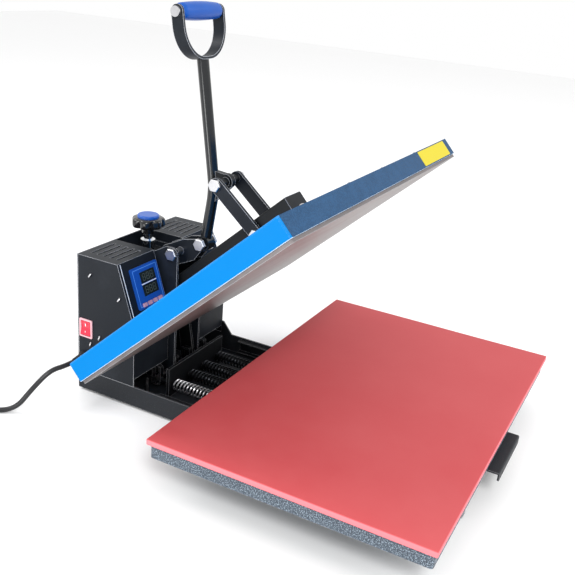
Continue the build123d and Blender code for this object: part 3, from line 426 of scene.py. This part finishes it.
def baked(name, tree_object):
    """The evaluated object as a plain mesh."""
    graph = bpy.context.evaluated_depsgraph_get()
    mesh = bpy.data.meshes.new_from_object(tree_object.evaluated_get(graph))
    mesh.name = name
    bpy.data.objects.remove(tree_object)
    smooth(mesh)
    return mesh


def set_input(modifier, tree, label, value):
    """Sets a modifier's input by its socket's identifier."""
    for item in tree.interface.items_tree:
        if item.item_type == "SOCKET" and item.in_out == "INPUT" and item.name == label:
            modifier[item.identifier] = value
            return
    raise ValueError("the tree has no input named " + label)


def new_tree(name, inputs):
    """A Geometry Nodes tree with a geometry output and named number inputs."""
    tree = bpy.data.node_groups.new(name, "GeometryNodeTree")
    tree.interface.new_socket("Geometry", in_out="INPUT", socket_type="NodeSocketGeometry")
    for label, value in inputs.items():
        kind = "NodeSocketInt" if isinstance(value, int) else "NodeSocketFloat"
        tree.interface.new_socket(label, in_out="INPUT", socket_type=kind).default_value = value
    tree.interface.new_socket("Geometry", in_out="OUTPUT", socket_type="NodeSocketGeometry")
    return tree, tree.nodes.new("NodeGroupInput"), tree.nodes.new("NodeGroupOutput")


def run_tree(name, mesh, tree, values):
    """Runs a tree once on a mesh and returns the plain result."""
    holder = bpy.data.objects.new(name + "_holder", mesh)
    bpy.context.scene.collection.objects.link(holder)
    modifier = holder.modifiers.new("shape", "NODES")
    modifier.node_group = tree
    for label, value in values.items():
        set_input(modifier, tree, label, value)
    return baked(name, holder)


def finish_tree(tree, geometry, output, material):
    """Ends a tree in Realize Instances and Set Material."""
    real = tree.nodes.new("GeometryNodeRealizeInstances")
    paint = tree.nodes.new("GeometryNodeSetMaterial")
    paint.inputs["Material"].default_value = material
    tree.links.new(geometry, real.inputs["Geometry"])
    tree.links.new(real.outputs["Geometry"], paint.inputs["Geometry"])
    tree.links.new(paint.outputs["Geometry"], output.inputs["Geometry"])


def spring_tree(material):
    """A coil on each point of the mesh: a helix of round wire along +Y."""
    sizes = {"Turns": 20.0, "Length": 0.19, "Radius": 0.00875, "Wire": 0.00125}
    tree, given, output = new_tree("Lift spring coil", sizes)
    spiral = tree.nodes.new("GeometryNodeCurveSpiral")
    spiral.inputs["Resolution"].default_value = 20
    ring = tree.nodes.new("GeometryNodeCurvePrimitiveCircle")
    ring.inputs["Resolution"].default_value = 8
    for source, node, names in (
        ("Turns", spiral, ("Rotations",)),
        ("Length", spiral, ("Height",)),
        ("Radius", spiral, ("Start Radius", "End Radius")),
        ("Wire", ring, ("Radius",)),
    ):
        for socket in names:
            tree.links.new(given.outputs[source], node.inputs[socket])
    body = tree.nodes.new("GeometryNodeCurveToMesh")
    body.inputs["Fill Caps"].default_value = True
    tree.links.new(spiral.outputs["Curve"], body.inputs["Curve"])
    tree.links.new(ring.outputs["Curve"], body.inputs["Profile Curve"])
    place = tree.nodes.new("GeometryNodeInstanceOnPoints")
    place.inputs["Rotation"].default_value = (math.pi / 2, 0.0, 0.0)
    tree.links.new(given.outputs["Geometry"], place.inputs["Points"])
    tree.links.new(body.outputs["Mesh"], place.inputs["Instance"])
    finish_tree(tree, place.outputs["Instances"], output, material)
    return tree


def screw_tree(material, head):
    """A screw head on each point of the mesh.

    Known fault: Blender gives a loose point its direction from the origin as its normal,
    so the heads face away from the origin and lean against the surface they sit on.
    """
    tree, given, output = new_tree("Screw heads", {"Scale": 1.0})
    source = tree.nodes.new("GeometryNodeObjectInfo")
    source.inputs["Object"].default_value = head
    normal = tree.nodes.new("GeometryNodeInputNormal")
    aim = tree.nodes.new("FunctionNodeAlignRotationToVector")
    aim.axis = "Z"
    tree.links.new(normal.outputs["Normal"], aim.inputs["Vector"])
    place = tree.nodes.new("GeometryNodeInstanceOnPoints")
    tree.links.new(given.outputs["Geometry"], place.inputs["Points"])
    tree.links.new(source.outputs["Geometry"], place.inputs["Instance"])
    tree.links.new(aim.outputs["Rotation"], place.inputs["Rotation"])
    tree.links.new(given.outputs["Scale"], place.inputs["Scale"])
    finish_tree(tree, place.outputs["Instances"], output, material)
    return tree


def screw_head(radius, height):
    """A pan head with a cross recess, about the origin along +Z."""
    profile = [(radius, 0.0), (radius, height * 0.45), (radius * 0.9, height * 0.8), (radius * 0.55, height)]
    mesh = turned("pan head", profile, 20)
    holder = bpy.data.objects.new("pan_head_source", mesh)
    bpy.context.scene.collection.objects.link(holder)
    cutter = bmesh.new()
    for wide, deep in ((radius * 1.1, radius * 0.22), (radius * 0.22, radius * 1.1)):
        made = bmesh.ops.create_cube(cutter, size=1.0)
        bmesh.ops.scale(cutter, vec=(wide, deep, height), verts=made["verts"])
        bmesh.ops.translate(cutter, vec=(0, 0, height * 1.05), verts=made["verts"])
    cut_mesh = bpy.data.meshes.new("cross recess")
    cutter.to_mesh(cut_mesh)
    cutter.free()
    cut = bpy.data.objects.new("cross_recess", cut_mesh)
    bpy.context.scene.collection.objects.link(cut)
    boolean = holder.modifiers.new("recess", "BOOLEAN")
    boolean.operation = "DIFFERENCE"
    boolean.object = cut
    boolean.use_self = True
    result = baked("pan head", holder)
    bpy.data.objects.remove(cut)
    return result


def islands(node):
    """The centre and half size of each separate solid in a CAD node."""
    made = bmesh.new()
    made.from_mesh(NODES[node].data)
    bmesh.ops.remove_doubles(made, verts=made.verts, dist=1e-6)
    left = set(made.verts)
    boxes = []
    while left:
        stack = [left.pop()]
        points = []
        while stack:
            vert = stack.pop()
            points.append(vert.co.copy())
            for edge in vert.link_edges:
                other = edge.other_vert(vert)
                if other in left:
                    left.remove(other)
                    stack.append(other)
        lowest = Vector(min(p[i] for p in points) for i in range(3))
        highest = Vector(max(p[i] for p in points) for i in range(3))
        boxes.append(((lowest + highest) / 2, (highest - lowest) / 2))
    made.free()
    return sorted(boxes, key=lambda box: tuple(round(c, 4) for c in box[0]))


# ------------------------------------------------------------------ settings a user would change
class PressColours(bpy.types.PropertyGroup):
    """Colours of the press's own finishes."""

    side_blue: bpy.props.FloatVectorProperty(
        name="Cover sides", description="Bright paint on the cover's ends and top", subtype="COLOR",
        default=(0.0, 0.185, 0.53), min=0.0, max=1.0)
    front_slate: bpy.props.FloatVectorProperty(
        name="Cover front", description="Hammered paint on the cover's front", subtype="COLOR",
        default=(0.009, 0.042, 0.1), min=0.0, max=1.0)
    pad_red: bpy.props.FloatVectorProperty(
        name="Pad", description="Silicone sponge of the lower platen", subtype="COLOR",
        default=(0.53, 0.072, 0.08), min=0.0, max=1.0)
    trim_blue: bpy.props.FloatVectorProperty(
        name="Plastic trim", description="Grip, knob cap and display panel", subtype="COLOR",
        default=(0.008, 0.075, 0.36), min=0.0, max=1.0)
    plate_yellow: bpy.props.FloatVectorProperty(
        name="Blank plate", description="Blank plate on the cover's front", subtype="COLOR",
        default=(0.6, 0.5, 0.008), min=0.0, max=1.0)


class PressSizes(bpy.types.PropertyGroup):
    """Sizes of what the finishing adds to the solids."""

    spring_turns: bpy.props.IntProperty(
        name="Spring turns", description="Turns of each lift spring", default=30, min=6, max=60)
    spring_wire: bpy.props.FloatProperty(
        name="Spring wire", description="Diameter of the springs' wire", default=2.5 * MM, unit="LENGTH")
    lead_diameter: bpy.props.FloatProperty(
        name="Lead diameter", description="Diameter of the mains lead", default=8.0 * MM, unit="LENGTH")
    grip_swell: bpy.props.FloatProperty(
        name="Grip swell", description="How much thinner the grip is at its ends",
        default=2.2 * MM, unit="LENGTH")
    camera_lens: bpy.props.FloatProperty(
        name="Lens", description="Focal length of the studio camera, in millimetres", default=50.9)


# ------------------------------------------------------------------ operators
class PRESS_OT_stage(bpy.types.Operator):
    """Camera, floor and soft studio light"""

    bl_idname = "press.stage"
    bl_label = "Studio"

    def execute(self, context):
        scene = context.scene
        view = bpy.data.cameras.new("studio camera")
        view.lens = scene.press_sizes.camera_lens
        view.sensor_width = 36.0
        view.clip_end = 50.0
        camera = bpy.data.objects.new("studio_camera", view)
        scene.collection.objects.link(camera)
        around, above, lean = (math.radians(a) for a in CAMERA_TURN)
        level = math.cos(above)
        back = Vector((math.sin(around) * level, -math.cos(around) * level, math.sin(above)))
        flat_right = Vector((math.cos(around), math.sin(around), 0.0))
        flat_up = back.cross(flat_right)
        right = flat_right * math.cos(lean) + flat_up * math.sin(lean)
        up = back.cross(right)
        camera.matrix_world = (
            Matrix.Translation(Vector(CAMERA_PLACE)) @ Matrix((right, up, back)).transposed().to_4x4()
        )
        scene.camera = camera
        scene.view_settings.view_transform = "Standard"

        made = bmesh.new()
        corners = [
            made.verts.new((x * STUDIO_REACH, y * STUDIO_REACH, 0.0))
            for x, y in ((-1, -1), (1, -1), (1, 1), (-1, 1))
        ]
        made.faces.new(corners)
        mesh = bpy.data.meshes.new("studio floor")
        made.to_mesh(mesh)
        made.free()
        floor = bpy.data.objects.new("studio_floor", mesh)
        scene.collection.objects.link(floor)
        pale = Finish("pale floor", (0.93, 0.93, 0.93), 0.75, gloss=0.1)
        pale.set("Roughness", 0.7 + pale.noise(3.0) * 0.1)
        mesh.materials.append(pale.material)

        world = bpy.data.worlds.new("studio light")
        world.use_nodes = True
        world.node_tree.nodes["Background"].inputs["Color"].default_value = (1.0, 1.0, 1.0, 1.0)
        world.node_tree.nodes["Background"].inputs["Strength"].default_value = 1.0
        scene.world = world
        for name, place, size, power in LAMPS:
            lamp = bpy.data.lights.new(name, "AREA")
            lamp.shape = "DISK"
            lamp.size = size
            lamp.energy = power
            holder = bpy.data.objects.new(name, lamp)
            scene.collection.objects.link(holder)
            aim = Vector((0.0, 0.0, 0.2)) - Vector(place)
            turn = aim.to_track_quat("-Z", "Y").to_matrix().to_4x4()
            holder.matrix_world = Matrix.Translation(Vector(place)) @ turn
        return {"FINISHED"}


class PRESS_OT_lead(bpy.types.Operator):
    """Mains lead with its coil, from the strain relief to the plug"""

    bl_idname = "press.lead"
    bl_label = "Mains lead"

    def execute(self, context):
        route = [Vector(point) * MM for point in lead_route()]
        curve = bpy.data.curves.new("mains lead", "CURVE")
        curve.dimensions = "3D"
        curve.resolution_u = 10
        curve.bevel_depth = context.scene.press_sizes.lead_diameter / 2
        curve.bevel_resolution = 4
        curve.use_fill_caps = True
        line = curve.splines.new("NURBS")
        line.points.add(len(route) - 1)
        for point, place in zip(line.points, route):
            point.co = (*place, 1.0)
        line.order_u = 3
        line.use_endpoint_u = True
        lead = bpy.data.objects.new("mains_lead", curve)
        context.scene.collection.objects.link(lead)
        curve.materials.append(FINISHES["cord_black"])
        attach(lead, "frame")
        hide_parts("power_cord", "cord_coil")
        return {"FINISHED"}


class PRESS_OT_springs(bpy.types.Operator):
    """Lift springs as real coils"""

    bl_idname = "press.springs"
    bl_label = "Lift springs"

    def execute(self, context):
        sizes = context.scene.press_sizes
        boxes = islands("lift_springs")
        length = boxes[0][1].y * 2
        outer = boxes[0][1].x
        mesh = bpy.data.meshes.new("spring seats")
        mesh.from_pydata([(c.x, c.y + h.y - sizes.spring_wire / 2, c.z) for c, h in boxes], [], [])
        tree = spring_tree(FINISHES["spring_steel"])
        values = {
            "Turns": float(sizes.spring_turns), "Length": length - sizes.spring_wire,
            "Radius": outer - sizes.spring_wire / 2, "Wire": sizes.spring_wire / 2,
        }
        coils = run_tree("lift_coils", mesh, tree, values)
        piece = add_piece("lift_coils", coils, "frame", None)
        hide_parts("lift_springs")
        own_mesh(piece)
        return {"FINISHED"}


class PRESS_OT_screws(bpy.types.Operator):
    """Pan-head screws on the box's sides and the cover"""

    bl_idname = "press.screws"
    bl_label = "Screws"

    def execute(self, context):
        head_mesh = screw_head(SCREW_RADIUS, SCREW_HEIGHT)
        head = bpy.data.objects.new("screw_source", head_mesh)
        context.scene.collection.objects.link(head)
        tree = screw_tree(FINISHES["steel"], head)
        groups = (
            ("side_screws", "frame", lambda c: Vector((math.copysign(1.0, c.x), 0, 0)), 1.1),
            ("cover_screws", "upper", lambda c: COVER_UP, 1.2),
        )
        for node, body, outward, scale in groups:
            made = bmesh.new()
            for centre, _ in islands(node):
                direction = outward(centre)
                made.verts.new(centre - direction * (SCREW_SUNK * scale))
            seats = bpy.data.meshes.new(node + " seats")
            made.to_mesh(seats)
            made.free()
            result = run_tree(node + "_heads", seats, tree, {"Scale": scale})
            piece = add_piece(node + "_heads", result, body, None)
            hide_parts(node)
        bpy.data.objects.remove(head)
        return {"FINISHED"}


class PRESS_OT_grip(bpy.types.Operator):
    """Swelling grip barrel"""

    bl_idname = "press.grip"
    bl_label = "Grip"

    def execute(self, context):
        swell = context.scene.press_sizes.grip_swell
        centre = middle("grip")
        half = (high("grip").x - low("grip").x) / 2
        radius = (high("grip").z - low("grip").z) / 2
        profile = []
        steps = 24
        for step in range(steps + 1):
            along = -1.0 + 2.0 * step / steps
            fat = radius - swell * along * along
            end = max(0.0, abs(along) - 0.94) / 0.06
            profile.append((fat - 3.0 * MM * end * end, along * half))
        mesh = turned("grip barrel", profile, 56)
        mesh.transform(facing(centre, (1, 0, 0), (0, 1, 0)))
        piece = add_piece("grip_barrel", mesh, "grip_sleeve", FINISHES["blue_grip"])
        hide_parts("grip")
        return {"FINISHED"}


class PRESS_OT_front(bpy.types.Operator):
    """Slate coloured skin over the cover's front"""

    bl_idname = "press.front"
    bl_label = "Cover front"

    def execute(self, context):
        forward = Vector((0.0, -math.cos(OPEN), math.sin(OPEN)))
        plate = middle("blank_plate")
        half_wide = (high("platen_cover").x - low("platen_cover").x) / 2 - 3.0 * MM
        centre = Vector((0.0, plate.y, plate.z)) - forward * (0.4 * MM)
        made = bmesh.new()
        add_strip(made, centre, Vector((half_wide, 0, 0)), COVER_UP * FRONT_HALF_TALL, forward * (0.3 * MM))
        mesh = bpy.data.meshes.new("front skin")
        made.to_mesh(mesh)
        made.free()
        add_piece("front_skin", mesh, "upper", FINISHES["front_slate"])
        return {"FINISHED"}


class PRESS_OT_pad(bpy.types.Operator):
    """Silicone pad with a softly rounded rim and a faint bow"""

    bl_idname = "press.pad"
    bl_label = "Silicone pad"

    def execute(self, context):
        corner, far = low("silicone_pad"), high("silicone_pad")
        size = far - corner
        made = bmesh.new()
        bmesh.ops.create_cube(made, size=1.0)
        bmesh.ops.scale(made, vec=size, verts=made.verts)
        bmesh.ops.bevel(
            made, geom=made.edges[:], offset=PAD_ROUNDING, segments=4, profile=0.5, affect="EDGES")
        for axis, cuts in enumerate(PAD_CUTS):
            for cut in range(1, cuts):
                plane = Vector((0, 0, 0))
                plane[axis] = size[axis] * (cut / cuts - 0.5)
                normal = Vector((0, 0, 0))
                normal[axis] = 1.0
                bmesh.ops.bisect_plane(
                    made, geom=made.verts[:] + made.edges[:] + made.faces[:], plane_co=plane, plane_no=normal)
        for vert in made.verts:
            if vert.co.z > 0.0:
                wave = math.sin(vert.co.x * 31.0 + 1.0) * math.sin(vert.co.y * 27.0)
                vert.co.z -= PAD_BOW * (1.0 + wave)
            vert.co += (corner + far) / 2
        mesh = bpy.data.meshes.new("silicone pad")
        made.to_mesh(mesh)
        made.free()
        smooth(mesh, 40.0)
        piece = add_piece("soft_pad", mesh, "drawer", FINISHES["silicone_red"])
        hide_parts("silicone_pad")
        return {"FINISHED"}


class PRESS_OT_knob(bpy.types.Operator):
    """Lobed pressure knob"""

    bl_idname = "press.knob"
    bl_label = "Pressure knob"

    def execute(self, context):
        base, top = low("pressure_knob"), high("pressure_knob")
        centre = (base + top) / 2
        radius = (top.x - base.x) / 2
        height = top.z - base.z
        made = bmesh.new()
        rings = []
        for share, width in KNOB_LEVELS:
            ring = []
            for step in range(KNOB_STEPS):
                angle = math.tau * step / KNOB_STEPS
                wave = 0.5 + 0.5 * math.cos(KNOB_LOBES * angle)
                lobed = min(1.0, (1.0 - share) * 5.0 + 0.25) * (1.0 if width > 0.5 else 0.0)
                dip = (1.0 - wave ** 0.55) * 0.17 * lobed
                reach = radius * width * (1.0 - dip)
                height_here = base.z + share * height
                ring.append(made.verts.new((reach * math.cos(angle), reach * math.sin(angle), height_here)))
            rings.append(ring)
        for below, above in zip(rings, rings[1:]):
            for step in range(KNOB_STEPS):
                after = (step + 1) % KNOB_STEPS
                made.faces.new((below[step], below[after], above[after], above[step]))
        made.faces.new(list(reversed(rings[0])))
        made.faces.new(rings[-1])
        mesh = bpy.data.meshes.new("lobed knob")
        made.to_mesh(mesh)
        made.free()
        mesh.transform(Matrix.Translation((centre.x, centre.y, 0.0)))
        smooth(mesh, 40.0)
        piece = add_piece("lobed_knob", mesh, "knob", FINISHES["gloss_black"])
        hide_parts("pressure_knob")
        return {"FINISHED"}


class PRESS_OT_display(bpy.types.Operator):
    """Display digits, panel marks and switch marks"""

    bl_idname = "press.display"
    bl_label = "Display"

    def execute(self, context):
        lean = Vector((0.0, math.sin(SLOPE), math.cos(SLOPE)))
        out = Vector((0.0, -math.cos(SLOPE), math.sin(SLOPE)))
        made = bmesh.new()
        for centre, _ in islands("display_windows"):
            face = centre + out * (0.5 * MM)
            for index in range(3):
                left = face + Vector(((index - 1) * 9.5 * MM, 0, 0))
                for x, y, wide in SEGMENTS:
                    add_bar(made, left + Vector((x * MM, 0, 0)) + lean * (y * MM), lean, out, wide)
        mesh = bpy.data.meshes.new("display digits")
        made.to_mesh(mesh)
        made.free()
        add_piece("display_digits", mesh, "frame", FINISHES["dim_segment"])

        made = bmesh.new()
        windows = islands("display_windows")
        between = sum((box[0] for box in windows), Vector()) / len(windows)
        face = between + out * (0.1 * MM)
        wide = windows[0][1].x
        add_strip(made, face, Vector((wide, 0, 0)), lean * (0.7 * MM), out * (0.5 * MM))
        mesh = bpy.data.meshes.new("window bar")
        made.to_mesh(mesh)
        made.free()
        add_piece("window_bar", mesh, "frame", FINISHES["pale_trim"])

        made = bmesh.new()
        panel = middle("display_panel")
        half_wide = (high("display_panel").x - low("display_panel").x) / 2 - 4.0 * MM
        for side in (-1, 1):
            add_strip(made, panel + Vector((side * half_wide, 0, 0)) + out * (1.5 * MM),
                      Vector((0.5 * MM, 0, 0)), lean * half_wide, out * (0.2 * MM))
            add_strip(made, panel + lean * (side * half_wide) + out * (1.5 * MM),
                      Vector((half_wide, 0, 0)), lean * (0.5 * MM), out * (0.2 * MM))
        mesh = bpy.data.meshes.new("panel outline")
        made.to_mesh(mesh)
        made.free()
        add_piece("panel_outline", mesh, "frame", FINISHES["pale_blue"])

        # a pale strip along the box's front fold: a painted highlight line
        made = bmesh.new()
        highlight_line = Vector((low("left_tower").x + 5.5 * MM, panel.y, panel.z)) - out * (1.4 * MM)
        add_strip(made, highlight_line, Vector((0.6 * MM, 0, 0)), lean * (46.0 * MM), out * (0.4 * MM))
        mesh = bpy.data.meshes.new("front seam")
        made.to_mesh(mesh)
        made.free()
        add_piece("front_seam", mesh, "frame", FINISHES["bright_edge"])

        made = bmesh.new()
        key = middle("switch_key")
        for dz, half in ((5.5 * MM, 2.2 * MM), (-6.0 * MM, 1.4 * MM)):
            centre = Vector((low("switch_key").x, key.y, key.z + dz))
            sunk = 1.7 * MM if dz > 0 else 0.9 * MM
            add_strip(made, centre + Vector((sunk, 0, 0)), Vector((0, half * 0.35, 0)),
                      Vector((0, 0, half)), Vector((-0.3 * MM, 0, 0)))
        mesh = bpy.data.meshes.new("switch marks")
        made.to_mesh(mesh)
        made.free()
        add_piece("switch_marks", mesh, "switch_rocker", FINISHES["pale_trim"])
        return {"FINISHED"}


def add_strip(made, centre, half_wide, half_tall, thick):
    """A thin block about a centre: two half sides and its thickness."""
    corners = []
    for depth in (Vector(), thick):
        for a, b in ((-1, -1), (1, -1), (1, 1), (-1, 1)):
            corners.append(made.verts.new(centre + half_wide * a + half_tall * b + depth))
    faces = ((3, 2, 1, 0), (4, 5, 6, 7), (0, 1, 5, 4), (1, 2, 6, 5), (2, 3, 7, 6), (3, 0, 4, 7))
    for face in faces:
        made.faces.new([corners[i] for i in face])
    bmesh.ops.recalc_face_normals(made, faces=made.faces)


def add_bar(made, centre, lean, out, wide):
    """One segment of a digit, lying across or up the window."""
    long_half, thin_half = 2.6 * MM, 0.5 * MM
    across = Vector((long_half if wide else thin_half, 0, 0))
    add_strip(made, centre, across, lean * (thin_half if wide else long_half * 0.85), out * (0.12 * MM))


# ------------------------------------------------------------------ the lead
def lead_route():
    """The lead's points in millimetres: from the gland to the floor, round its coil, and up to the plug."""
    half, gland_y, gland_z = 131.0, 324.5, 63.0
    radius, turn_gap, floor_z = 4.0, 8.0, 4.2
    route = [
        (-half - 24.0, gland_y, gland_z),
        (-half - 42.0, gland_y, gland_z),
        (-half - 68.0, gland_y + 10.0, gland_z - 1.0),
        (-half - 96.0, gland_y + 21.0, gland_z - 25.0),
        (-half - 115.0, gland_y + 39.5, floor_z),
        (-half - 140.0, gland_y + 74.5, floor_z),
        (-half - 168.5, gland_y + 106.3, floor_z),
    ]
    heading = (Vector(route[-1]) - Vector(route[-2])).normalized()
    outer = 52.0
    centre = Vector(route[-1]) + Vector((-heading.y, heading.x, 0.0)) * outer
    start = math.degrees(math.atan2(route[-1][1] - centre.y, route[-1][0] - centre.x))
    steps = 16
    step_angle = 360.0 / steps
    grow = 1.0 / (0.5 + 0.5 * math.cos(math.radians(step_angle))) ** 0.5
    upper_z = floor_z + turn_gap * math.sin(math.radians(60.0))
    low_turns = [outer, outer - turn_gap, outer - 2 * turn_gap]
    high_turns = [outer - 1.5 * turn_gap, outer - 0.5 * turn_gap]
    exit_turn = 120.0
    last = exit_turn + 360.0 * 5
    angle = start + step_angle
    while angle < last:
        turned_by = angle - start
        whole = int(turned_by // 360.0)
        within = turned_by - 360.0 * whole
        shift = min(1.0, max(0.0, (within - 300.0) / 60.0))
        early = min(1.0, max(0.0, (within - 240.0) / 60.0))
        if whole < 2:
            reach = low_turns[whole] + (low_turns[whole + 1] - low_turns[whole]) * shift
            height = floor_z
        elif whole == 2:
            swing = math.radians(180.0 - 60.0 * early)
            reach = low_turns[1] + turn_gap * math.cos(swing) if early > 0 else low_turns[2]
            height = floor_z + turn_gap * math.sin(swing) if early > 0 else floor_z
            height += 1.2 * math.sin(math.pi * shift)
        else:
            reach = high_turns[0] + (high_turns[1] - high_turns[0]) * (early if whole == 3 else 1.0)
            height = upper_z + 1.3 * math.sin(math.pi * (early if shift == 0 and whole == 3 else shift))
        route.append((
            centre.x + reach * grow * math.cos(math.radians(angle)),
            centre.y + reach * grow * math.sin(math.radians(angle)),
            height,
        ))
        angle += step_angle
        if whole >= 3 and (angle - exit_turn) % 360.0 < step_angle and turned_by > 360.0 * 3 + 300.0:
            break
    out = Vector((math.cos(math.radians(exit_turn)), math.sin(math.radians(exit_turn)), 0.0))
    along = Vector((-out.y, out.x, 0.0))
    leave = centre + out * high_turns[1]
    for distance, height in ((4.0, upper_z + 0.6), (20.0, upper_z + 1.6), (31.0, 10.6), (36.0, 9.4)):
        place = leave + along * distance
        route.append((place.x, place.y, height))
    return route


# ------------------------------------------------------------------ finishes on the solids
class PRESS_OT_finishes(bpy.types.Operator):
    """Procedural finishes on every solid of the press"""

    bl_idname = "press.finishes"
    bl_label = "Finishes"

    def execute(self, context):
        colours = context.scene.press_colours
        blue, slate, red = tuple(colours.side_blue), tuple(colours.front_slate), tuple(colours.pad_red)
        trim, yellow = tuple(colours.trim_blue), tuple(colours.plate_yellow)
        black = (0.006, 0.007, 0.008)
        FINISHES.update(
            black_coat=worn_coat("black paint", black, (0.5, 0.5, 0.52), 0.34),
            # the box paint's blue tint and its paler cloudy patches are painted sheen
            box_coat=worn_coat("box paint", (0.009, 0.0115, 0.016), (0.62, 0.63, 0.66), 0.38),
            tray_coat=powder_coat("tray powder coat", (0.016, 0.018, 0.022), (0.07, 0.075, 0.085), 0.5),
            platen_coat=powder_coat(
                "platen powder coat", (0.055, 0.07, 0.09), (0.34, 0.42, 0.5), 0.42, 1100.0, 0.6),
            cover_blue=cover_paint("cover paint", blue),
            front_slate=hammered_paint("hammered slate paint", slate),
            silicone_red=silicone("red silicone", red, (0.62, 0.15, 0.155)),
            # the second colour is the painted reflection of the red pad
            heater=heater_coat("heater face", (0.13, 0.118, 0.118), (0.2, 0.17, 0.165)),
            steel=bare_metal("zinc plate", (0.62, 0.62, 0.64), 0.3),
            # the outer near spring keeps bright steel; the springs further in get near-black painted shade
            spring_steel=coil_steel("spring steel", (0.75, 0.75, 0.77), (0.03, 0.032, 0.036), -0.042),
            chrome=bare_metal("turned chrome", (0.82, 0.83, 0.85), 0.14, 40.0, (1.0, 1.0, 14.0)),
            gloss_black=moulding("gloss black moulding", (0.006, 0.006, 0.007), 0.14, 0.5),
            gloss_coat=moulding("gloss black paint", (0.006, 0.007, 0.008), 0.16, 0.4),
            # the parts deep in the base are black-coated; the extra darkness of this coat is painted shade
            inner_coat=powder_coat("inner coat with painted shade", (0.003, 0.0035, 0.005), (0.012, 0.012, 0.014), 0.55),
            # pale moulding for the painted highlight line on the box's front fold
            bright_edge=moulding("painted highlight strip", (0.8, 0.82, 0.86), 0.35),
            black_plastic=moulding("black moulding", (0.018, 0.018, 0.02), 0.45),
            rubber=moulding("foot rubber", (0.02, 0.02, 0.02), 0.8),
            cord_black=moulding("lead jacket", (0.014, 0.014, 0.016), 0.38, 0.2),
            blue_trim=moulding("blue panel film", trim, 0.32, 0.3),
            blue_grip=moulding("blue grip", (0.0, 0.07, 0.35), 0.36),
            dark_window=window_tint("display window", (0.008, 0.012, 0.012)),
            dim_segment=lit_segment("display segment", (0.055, 0.07, 0.06)),
            pale_trim=moulding("pale print", (0.75, 0.78, 0.85), 0.5),
            pale_blue=moulding("pale blue print", (0.09, 0.28, 0.72), 0.4),
            switch_red=moulding("switch red", (0.72, 0.02, 0.05), 0.22, 0.5),
            switch_frame=moulding("switch frame", (0.72, 0.42, 0.46), 0.35),
            button_pale=moulding("button cap", (0.55, 0.3, 0.38), 0.45),
            yellow=moulding("yellow plate", yellow, 0.5, mottle=0.03),
            board=moulding("board green", (0.02, 0.12, 0.05), 0.4),
            pale_plastic=moulding("terminal plastic", (0.55, 0.55, 0.56), 0.45),
            blanket=moulding("fibre blanket", (0.6, 0.56, 0.46), 0.9),
            brass=bare_metal("pin brass", (0.75, 0.58, 0.28), 0.25),
        )
        worn = {
            "tray_coat": ("base_tray", "drawer_pull"),
            "box_coat": (
                "left_tower", "right_tower", "rear_panel", "uprights", "rocker_arms", "toggle_links", "fork",
            ),
            "black_coat": ("arm_beam", "tail_plates", "lever_lug", "carriage_frame"),
            "gloss_coat": ("lever",),
            "inner_coat": ("tower_floors", "spring_wall", "pressure_bridge", "drawbars", "slide_channels"),
            "platen_coat": ("lower_platen",),
            "cover_blue": ("platen_cover",),
            "silicone_red": ("silicone_pad",),
            "heater": ("heating_plate",),
            "steel": (
                "slide_runners", "hinge_shaft", "rocker_bolt", "lever_bolt", "stop_pin", "lift_bar",
                "link_bolt", "link_caps", "grip_axle", "heating_element",
            ),
            "chrome": ("pressure_screw",),
            "black_plastic": ("solid_state_relay", "plug_body", "cord_gland"),
            "rubber": ("rubber_feet",),
            "blue_trim": ("display_panel", "knob_cap"),
            "dark_window": ("display_windows",),
            "switch_red": ("switch_key",),
            "switch_frame": ("switch_frame",),
            "button_pale": ("panel_button_1", "panel_button_2", "panel_button_3", "panel_button_4"),
            "yellow": ("blank_plate",),
            "board": ("circuit_board",),
            "pale_plastic": ("terminal_block",),
            "blanket": ("insulation_blanket",),
            "brass": ("plug_pins",),
        }
        for finish, nodes in worn.items():
            for node in nodes:
                solid = NODES[node]
                for index in range(max(1, len(solid.material_slots))):
                    if not solid.material_slots:
                        solid.data.materials.append(FINISHES[finish])
                    solid.material_slots[index].material = FINISHES[finish]
        return {"FINISHED"}


class PRESS_PT_panel(bpy.types.Panel):
    """Lists the stages of the heat press"""

    bl_idname = "PRESS_PT_panel"
    bl_label = "Heat press"
    bl_space_type = "VIEW_3D"
    bl_region_type = "UI"
    bl_category = "Heat press"

    def draw(self, context):
        for stage in STAGES:
            self.layout.operator(stage.bl_idname)
        for group in (context.scene.press_colours, context.scene.press_sizes):
            for name in group.__annotations__:
                self.layout.prop(group, name)


STAGES = (
    PRESS_OT_stage, PRESS_OT_finishes, PRESS_OT_lead, PRESS_OT_springs, PRESS_OT_screws,
    PRESS_OT_grip, PRESS_OT_pad, PRESS_OT_front, PRESS_OT_knob, PRESS_OT_display,
)
CLASSES = (PressColours, PressSizes, *STAGES, PRESS_PT_panel)


def register():
    for kind in CLASSES:
        bpy.utils.register_class(kind)
    bpy.types.Scene.press_colours = bpy.props.PointerProperty(type=PressColours)
    bpy.types.Scene.press_sizes = bpy.props.PointerProperty(type=PressSizes)


def unregister():
    del bpy.types.Scene.press_sizes
    del bpy.types.Scene.press_colours
    for kind in reversed(CLASSES):
        bpy.utils.unregister_class(kind)


def main():
    register()
    for stage in STAGES:
        group, name = stage.bl_idname.split(".")
        getattr(getattr(bpy.ops, group), name)()


if __name__ == "__main__":
    main()
